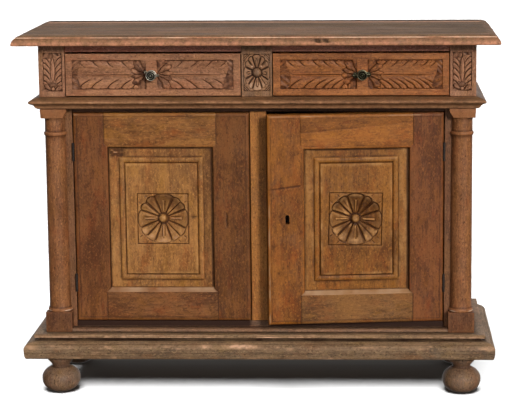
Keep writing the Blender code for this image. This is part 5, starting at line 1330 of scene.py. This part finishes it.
def member(kind, seed, side):
    """Front skin of one door member in the closed right door."""
    jx0, jx1, jz0, jz1 = JOINT_X0, JOINT_X1, JOINT_Z0, JOINT_Z1
    upright = kind in ("hinge_stile", "meeting_stile")
    if kind == "hinge_stile":
        xs = lines(jx1, DOOR_X1, 0.004, [jx1 + 0.0004, jx1 + 0.0012, HINGE_X - 0.0049, HINGE_X - 0.0046] + [DOOR_X1 - e for e in EDGE_LINES])
    elif kind == "meeting_stile":
        xs = lines(DOOR_X0, jx0, 0.0016, [jx0 - 0.0004, jx0 - 0.0012] + [DOOR_X0 + e for e in EDGE_LINES])
    else:
        xs = lines(jx0 + GAP, jx1 - GAP, 0.004, [jx0 + GAP + 0.0004, jx1 - GAP - 0.0004])
    if upright:
        hinge = [z + k * (HINGE_HALF + e) for z in HINGE_Z for k in (-1, 1) for e in (0.0009, 0.0012)]
        zs = lines(DOOR_Z0, DOOR_Z1, 0.0025, [jz0, jz1] + [DOOR_Z0 + e for e in EDGE_LINES] + [DOOR_Z1 - e for e in EDGE_LINES] + (hinge if kind == "hinge_stile" else []))
    elif kind == "top_rail":
        zs = lines(jz1, DOOR_Z1, 0.0016, [jz1 + 0.0004, jz1 + 0.0012] + [DOOR_Z1 - e for e in EDGE_LINES])
    else:
        zs = lines(DOOR_Z0, jz0, 0.004, [jz0 - 0.0004, jz0 - 0.0012] + [DOOR_Z0 + e for e in EDGE_LINES])
    X, Z = np.meshgrid(xs, zs, indexing="ij")
    d = np.minimum(Z - DOOR_Z0, DOOR_Z1 - Z)
    if kind == "hinge_stile":
        d = np.minimum(d, DOOR_X1 - X)
    if kind == "meeting_stile":
        d = np.minimum(d, X - DOOR_X0)
    flat = np.stack([X, np.zeros_like(X), Z], -1)
    uneven = 0.0003 * (0.5 + 0.5 * noise(flat, (0.05, 1, 0.2) if upright else (0.2, 1, 0.05), seed, 2))
    dent = np.clip(noise(flat, 0.02, seed + 1, 2) - 0.3, 0, 1) * bump(d - THUMB_W, 0.004) * 0.0012
    drop = thumb(d) + uneven + dent
    # joints between stile and rail
    if upright:
        dj = np.abs(X - (jx1 if kind == "hinge_stile" else jx0))
        beside = (Z > jz1) | (Z < jz0)
    else:
        dj = np.minimum(X - xs[0], xs[-1] - X)
        beside = np.ones_like(X, bool)
    crack = ease(0.0010, 0.0, dj) * beside
    drop = drop + 0.0005 * crack
    grime_and_shade = np.maximum(0.8 * ease(0.0018, 0.0, dj) * beside, 0.75 * bump(d - THUMB_W - 0.0002, 0.0016) * np.clip(0.65 + 0.9 * noise(flat, 0.05, seed + 8, 2), 0.1, 1))
    grime_and_shade = np.maximum(grime_and_shade, 0.5 * ease(0.002, 0.0, d))
    wear_and_highlight = np.maximum(bump(d - 0.0055, 0.0036) * 0.85, bump(d - THUMB_W - 0.003, 0.0025) * 0.4)
    wear_and_highlight = wear_and_highlight * np.clip(0.5 + 0.9 * noise(flat, 0.03, seed + 2, 3), 0, 1)
    # painted highlight along the door's top edge
    wear_and_highlight = np.maximum(wear_and_highlight, 1.7 * bump(DOOR_Z1 - Z - 0.0058, 0.0036) * np.clip(0.62 + 0.8 * noise(flat, (0.06, 1, 0.02), seed + 9, 3), 0, 1))
    if kind == "hinge_stile":
        notch = np.zeros_like(X, bool)
        for z in HINGE_Z:
            notch |= (np.abs(Z - z) < HINGE_HALF + 0.0010) & (X > HINGE_X - 0.00475)
        drop = np.where(notch, HINGE_Y + 0.0055 - DOOR_FRONT, drop)
        grime_and_shade = np.where(notch, 1.0, grime_and_shade)
    if (side, kind) == ("left", "meeting_stile"):
        split = bump(X - 0.0990 - 0.0010 * np.sin(Z * 300), 0.0026) * ease(0.524, 0.534, Z) * ease(0.579, 0.568, Z)
        drop = drop + 0.0022 * split
        wear_and_highlight = wear_and_highlight * (1 - split)
        grime_and_shade = np.maximum(grime_and_shade, split)
    if (side, kind) == ("right", "meeting_stile"):
        repair = bump(Z - 0.6606 - 0.118 * (X - 0.08), 0.0020 + 0.0010 * ease(0.05, 0.10, X)) * ease(0.020, 0.032, X)
        drop = drop + 0.0006 * repair
        grime_and_shade = np.maximum(grime_and_shade, repair)
        # painted highlight along the right door's free edge
        wear_and_highlight = np.maximum(wear_and_highlight, 1.9 * bump(X - DOOR_X0 - 0.0045, 0.0042) * np.clip(0.6 + 0.8 * noise(flat, (0.02, 1, 0.05), 14, 3), 0, 1))
        wear_and_highlight = np.maximum(wear_and_highlight, 0.75 * ease(0.662, 0.668, Z - 0.118 * (X - 0.08)) * ease(0.80, 0.69, Z) * np.clip(0.5 + 0.9 * noise(flat, 0.03, 9, 2), 0, 1))
    if (side, kind) == ("right", "top_rail"):
        seam = 0.8300 + 0.030 * (X - jx0) / (jx1 - jx0) + 0.0012 * np.sin(X * 60)
        grime_and_shade = np.maximum(grime_and_shade, 0.6 * bump(Z - seam, 0.0016))
        drop = drop + 0.0003 * bump(Z - seam, 0.0016)
        grime_and_shade = np.maximum(grime_and_shade, 0.36 * ease(-0.001, 0.004, Z - seam) * np.clip(0.9 + 0.5 * noise(flat, (0.05, 1, 0.01), 12, 2), 0, 1))
        wear_and_highlight = np.maximum(wear_and_highlight, 0.65 * ease(0.001, -0.004, Z - seam) * np.clip(0.6 + 0.8 * noise(flat, (0.05, 1, 0.012), 13, 2), 0, 1))
        scratch = np.maximum(bump(X - 0.300 + 0.8 * (Z - 0.806), 0.0014) * bump(Z - 0.806, 0.008), bump(Z - 0.800 - 0.4 * (X - 0.296), 0.0012) * bump(X - 0.296, 0.006))
        grime_and_shade = np.maximum(grime_and_shade, 0.9 * scratch)
        drop = drop + 0.0006 * scratch
    flat[..., 1] = DOOR_FRONT + drop
    main = grid_patch(flat, grime_and_shade, wear_and_highlight)
    # the moulded lip
    if upright:
        keep = (zs >= jz0 - 1e-9) & (zs <= jz1 + 1e-9)
        edge = flat[-1 if kind == "meeting_stile" else 0][keep]
        line = zs[keep]
        goal = OPEN_Z0 + (line - jz0) / (jz1 - jz0) * (OPEN_Z1 - OPEN_Z0)
        target = OPEN_X0 if kind == "meeting_stile" else OPEN_X1
        start = jx0 if kind == "meeting_stile" else jx1
        L = np.zeros((len(LIP), len(line), 3))
        L[..., 0] = (start + (target - start) * LIP)[:, None]
        L[..., 2] = line[None] + (goal - line)[None] * LIP[:, None]
    else:
        edge = flat[:, 0 if kind == "top_rail" else -1]
        line = xs
        goal = OPEN_X0 + GAP + (line - line[0]) / (line[-1] - line[0]) * (OPEN_X1 - OPEN_X0 - 2 * GAP)
        target = OPEN_Z1 if kind == "top_rail" else OPEN_Z0
        start = jz1 if kind == "top_rail" else jz0
        L = np.zeros((len(LIP), len(line), 3))
        L[..., 2] = (start + (target - start) * LIP)[:, None]
        L[..., 0] = line[None] + (goal - line)[None] * LIP[:, None]
    rough_edge = 0.0004 * (0.5 + 0.5 * noise(L, 0.03, seed + 4, 2))
    L[..., 1] = edge[None, :, 1] * (1 - LIP[:, None]) + (DOOR_FRONT + 0.0002) * LIP[:, None] + lip_drop(LIP, kind)[:, None] + rough_edge * np.sin(np.pi * LIP)[:, None]
    L[0] = edge
    rub = (bump(LIP - 0.10, 0.10) * 0.7 + bump(LIP - 0.95, 0.12) * 0.6)[:, None] * np.clip(0.5 + 0.9 * noise(L, 0.03, seed + 5, 3), 0, 1)
    dark_marks = np.broadcast_to((bump(LIP - 0.03, 0.03) * 0.75)[:, None], rub.shape)
    if kind == "bottom_rail":
        # the bottom rail's chamfer painted pale: rubbing and painted highlight on its upward face
        rub = np.maximum(rub, np.clip(1.65 + 0.7 * noise(L, 0.03, seed + 6, 2), 1.0, 2))
        dark_marks = dark_marks * 0.4
    else:
        # the other lips darken towards the panel: painted shade at the opening's edge
        dark_marks = np.ones_like(rub) * ease(0.80, 1.0, LIP)[:, None]
        rub = 0.7 * bump(LIP - 0.68, 0.10)[:, None] * np.clip(0.5 + 0.9 * noise(L, 0.03, seed + 5, 3), 0, 1)
    lip = grid_patch(L, dark_marks, rub)
    return slab([main, lip], DOOR_BACK)


def keyhole_cutter(angle):
    """Keyhole as one solid, turned with the door."""
    pts = []
    for k in range(33):
        a = math.radians(180 * k / 32)
        pts.append((KEYHOLE_X + 0.0064 * math.cos(a), KEYHOLE_Z + 0.0085 + 0.0055 * math.sin(a)))
    pts += [(KEYHOLE_X - 0.0056, KEYHOLE_Z - 0.0142), (KEYHOLE_X + 0.0068, KEYHOLE_Z - 0.0148)]
    mesh = bpy.data.meshes.new("keyhole")
    bm = bmesh.new()
    a = [bm.verts.new((x, DOOR_FRONT - 0.02, z)) for x, z in pts]
    b = [bm.verts.new((x, DOOR_BACK + 0.01, z)) for x, z in pts]
    bm.faces.new(a)
    bm.faces.new(b[::-1])
    for k in range(len(pts)):
        m = (k + 1) % len(pts)
        bm.faces.new((a[k], a[m], b[m], b[k]))
    bmesh.ops.recalc_face_normals(bm, faces=bm.faces)
    bmesh.ops.rotate(bm, verts=bm.verts, cent=(HINGE_X, HINGE_Y, 0), matrix=Matrix.Rotation(angle, 3, "Z"))
    bm.to_mesh(mesh)
    bm.free()
    obj = bpy.data.objects.new("keyhole_cutter", mesh)
    bpy.context.scene.collection.objects.link(obj)
    return obj


def cut_keyhole(obj):
    cutter = keyhole_cutter(AJAR_RIGHT)
    mod = obj.modifiers.new("keyhole", "BOOLEAN")
    mod.operation, mod.solver, mod.object = "DIFFERENCE", "EXACT", cutter
    bpy.context.view_layer.update()
    mesh = bpy.data.meshes.new_from_object(obj.evaluated_get(bpy.context.evaluated_depsgraph_get()))
    obj.modifiers.clear()
    old = obj.data
    obj.data = mesh
    bpy.data.meshes.remove(old)
    bpy.data.objects.remove(cutter, do_unlink=True)


DOOR_TONES = {
    ("left", "hinge_stile"): (117, 70, 34), ("left", "meeting_stile"): (111, 67, 30), ("left", "top_rail"): (140, 91, 43), ("left", "bottom_rail"): (120, 75, 38),
    ("left", "panel"): (154, 104, 54),
    ("right", "hinge_stile"): (116, 67, 31), ("right", "meeting_stile"): (135, 81, 28), ("right", "top_rail"): (147, 89, 32), ("right", "bottom_rail"): (125, 83, 41),
    ("right", "panel"): (135, 85, 32),
}


def door(side):
    sign = 1 if side == "right" else -1

    def place(patches):
        if sign < 0:
            return mirror_patches(patches)
        return turn_patches(patches, AJAR_RIGHT, HINGE_X, HINGE_Y)

    for n, kind in enumerate(("hinge_stile", "meeting_stile", "top_rail", "bottom_rail")):
        axis = "Z" if n < 2 else "X"
        mat = wood(f"wood_door_{side}_{kind}", DOOR_TONES[side, kind], axis, 61 + n + 5 * sign, contrast=1.2, rub=0.75, cavity=0.9, patch=1.9, dark_marks=0.26, bare=(176, 138, 104))
        obj = make(f"door_{side}_{kind}", place(member(kind, 111 + n * 7 + sign, side)), mat, sharp=35)
        if (side, kind) == ("right", "meeting_stile"):
            cut_keyhole(obj)
    relief = panel_relief(1.3 if sign > 0 else 2.7, math.radians(-1.6) if sign > 0 else 0.0, sign < 0, (lambda X: OPEN_X1 - X) if sign > 0 else (lambda X: X - OPEN_X0), 0.010 if sign > 0 else 0.005, 1000 * ROSETTE_HALF + (3.0 if sign > 0 else 0.0))
    panel = relief_block(OPEN_X0 + 0.0004, OPEN_X1 - 0.0004, OPEN_Z0 + 0.0004, OPEN_Z1 - 0.0004, FIELD_Y, PANEL_BACK, relief, 0.0011, 0.0004, 131 + sign)
    mat = wood(f"wood_panel_{side}", DOOR_TONES[side, "panel"], "Z", 81 + sign, contrast=1.1, patch=1.7, dark_marks=0.30, grey=0.03, cavity=0.95, rub=0.9, rough=0.5, rubbed_and_lit=(204, 148, 88), bare=(178, 134, 110))
    make(f"door_{side}_panel", place(panel), mat, sharp=60)


door("left")
door("right")

# ----------------------------------------------------------------- iron parts
IRON = metal("metal_iron", (0.016, 0.012, 0.010), (0.034, 0.026, 0.020), 0.6, 7, 0.5, rust=(0.040, 0.018, 0.010))
for name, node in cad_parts.items():
    if "hinge" in name and "leaf" in name or name.startswith("door_right_lock"):
        node.data.materials.clear()
        node.data.materials.append(IRON)

# ---------------------------------------------------------------------- stage
def build_floor():
    mesh = bpy.data.meshes.new("floor")
    bm = bmesh.new()
    bmesh.ops.create_grid(bm, x_segments=8, y_segments=8, size=40.0)
    bm.to_mesh(mesh)
    bm.free()
    floor = bpy.data.objects.new("floor", mesh)
    floor.location = (0, 0, -0.0004)
    bpy.context.scene.collection.objects.link(floor)
    g = Graph("white_floor")
    tone = g.noise(g.coord, 3.0, 2.0)
    g.links.new(g.mix(g.span(tone, 0.3, 0.7), (0.54, 0.54, 0.54, 1), (0.56, 0.56, 0.56, 1)), g.shader.inputs["Base Color"])
    g.shader.inputs["Roughness"].default_value = 0.9
    g.shader.inputs["Specular IOR Level"].default_value = 0.1
    mesh.materials.append(g.mat)
    floor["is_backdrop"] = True


def build_backdrop():
    """Pale wall far round the floor, seen above it in low views."""
    steps = 128
    th = np.linspace(0, 2 * np.pi, steps, endpoint=False)
    z = np.linspace(-0.5, 30.0, 8)
    P = np.zeros((len(z), steps, 3))
    P[..., 0], P[..., 1], P[..., 2] = 32.0 * np.cos(th), 32.0 * np.sin(th), z[:, None]
    mesh = bpy.data.meshes.new("backdrop")
    mesh.from_pydata(P.reshape(-1, 3).tolist(), [], quads(len(z), steps, True).tolist())
    wall = bpy.data.objects.new("backdrop", mesh)
    bpy.context.scene.collection.objects.link(wall)
    g = Graph("white_backdrop")
    tone = g.noise(g.coord, 0.1, 2.0)
    g.links.new(g.mix(g.span(tone, 0.3, 0.7), (0.99, 0.99, 0.99, 1), (1.0, 1.0, 1.0, 1)), g.shader.inputs["Emission Color"])
    g.shader.inputs["Emission Strength"].default_value = 1.0
    g.shader.inputs["Roughness"].default_value = 0.9
    mesh.materials.append(g.mat)
    wall.visible_diffuse = wall.visible_glossy = wall.visible_transmission = wall.visible_shadow = False
    wall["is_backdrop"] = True


build_floor()
build_backdrop()
scene = bpy.context.scene


def build_sky():
    """Soft light from above, little from the horizon and below."""
    world = bpy.data.worlds.new("studio")
    world.use_nodes = True
    nodes, links = world.node_tree.nodes, world.node_tree.links
    coord = nodes.new("ShaderNodeTexCoord").outputs["Generated"]
    split = nodes.new("ShaderNodeSeparateXYZ")
    links.new(coord, split.inputs[0])
    rise = nodes.new("ShaderNodeMapRange")
    rise.interpolation_type = "SMOOTHSTEP"
    links.new(split.outputs["Z"], rise.inputs["Value"])
    for key, x in (("From Min", -0.10), ("From Max", 0.75), ("To Min", 0.02), ("To Max", 0.24)):
        rise.inputs[key].default_value = x
    links.new(rise.outputs["Result"], nodes["Background"].inputs["Strength"])
    nodes["Background"].inputs["Color"].default_value = (1.0, 0.99, 0.97, 1.0)
    scene.world = world


def sun(name, direction, strength, angle, receivers, casters=None):
    """Soft light from a direction, falling on the given objects only; casters: what shades them."""
    data = bpy.data.lights.new(name, "SUN")
    data.energy, data.angle = strength, math.radians(angle)
    obj = bpy.data.objects.new(name, data)
    obj.rotation_mode = "QUATERNION"
    obj.rotation_quaternion = Vector(direction).to_track_quat("Z", "Y")
    scene.collection.objects.link(obj)
    group = bpy.data.collections.new(name + "_lit")
    for other in receivers:
        group.objects.link(other)
    obj.light_linking.receiver_collection = group
    if casters:
        shade = bpy.data.collections.new(name + "_shade")
        for other in casters:
            shade.objects.link(other)
        obj.light_linking.blocker_collection = shade


build_sky()
floor = bpy.data.objects["floor"]
floor.visible_diffuse = False
floor.visible_glossy = False
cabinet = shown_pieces()
sun("key", (0.44, -0.85, 0.32), 2.35, 12, cabinet)
sun("front", (-0.05, -1.0, 0.05), 0.55, 90, cabinet)
sun("dome", (0.10, -0.50, 1.0), 0.62, 110, cabinet)
sun("back", (0.0, 1.0, 0.15), 1.5, 100, [o for o in cabinet if not o.name.startswith("top_")])
sun("back_top", (0.0, 1.0, 0.15), 0.8, 100, [o for o in cabinet if o.name.startswith("top_")])
low = [o for o in cabinet if o.name.startswith(("foot_", "door_", "bottom_", "sill_", "center_stile", "front_stile", "column_", "side_panel", "back_panel", "dust_board"))]
sun("wash", (0.0, -0.48, 1.0), 8.3, 32, [floor], low)
scene.view_settings.view_transform = "Standard"

# --------------------------------------------------------------------- camera
CAM_AT, PITCH, YAW, ROLL, FOCAL = (0.3484, -5.6650, 1.6507), 9.382, -1.719, -0.330, 1803.9
p, w, q = math.radians(PITCH), math.radians(YAW), math.radians(ROLL)
fwd = Vector((math.sin(w) * math.cos(p), math.cos(w) * math.cos(p), -math.sin(p)))
right = Vector((math.cos(w), -math.sin(w), 0))
up = right.cross(fwd)
r2, u2 = right * math.cos(q) + up * math.sin(q), up * math.cos(q) - right * math.sin(q)
cam_data = bpy.data.cameras.new("camera")
cam_data.sensor_width, cam_data.lens = 36.0, FOCAL * 36.0 / 512
cam_data.shift_x, cam_data.shift_y = -0.12, -0.09
cam = bpy.data.objects.new("camera", cam_data)
m = Matrix((r2, u2, -fwd)).transposed().to_4x4()
m.translation = Vector(CAM_AT)
cam.matrix_world = m
scene.collection.objects.link(cam)
scene.camera = cam
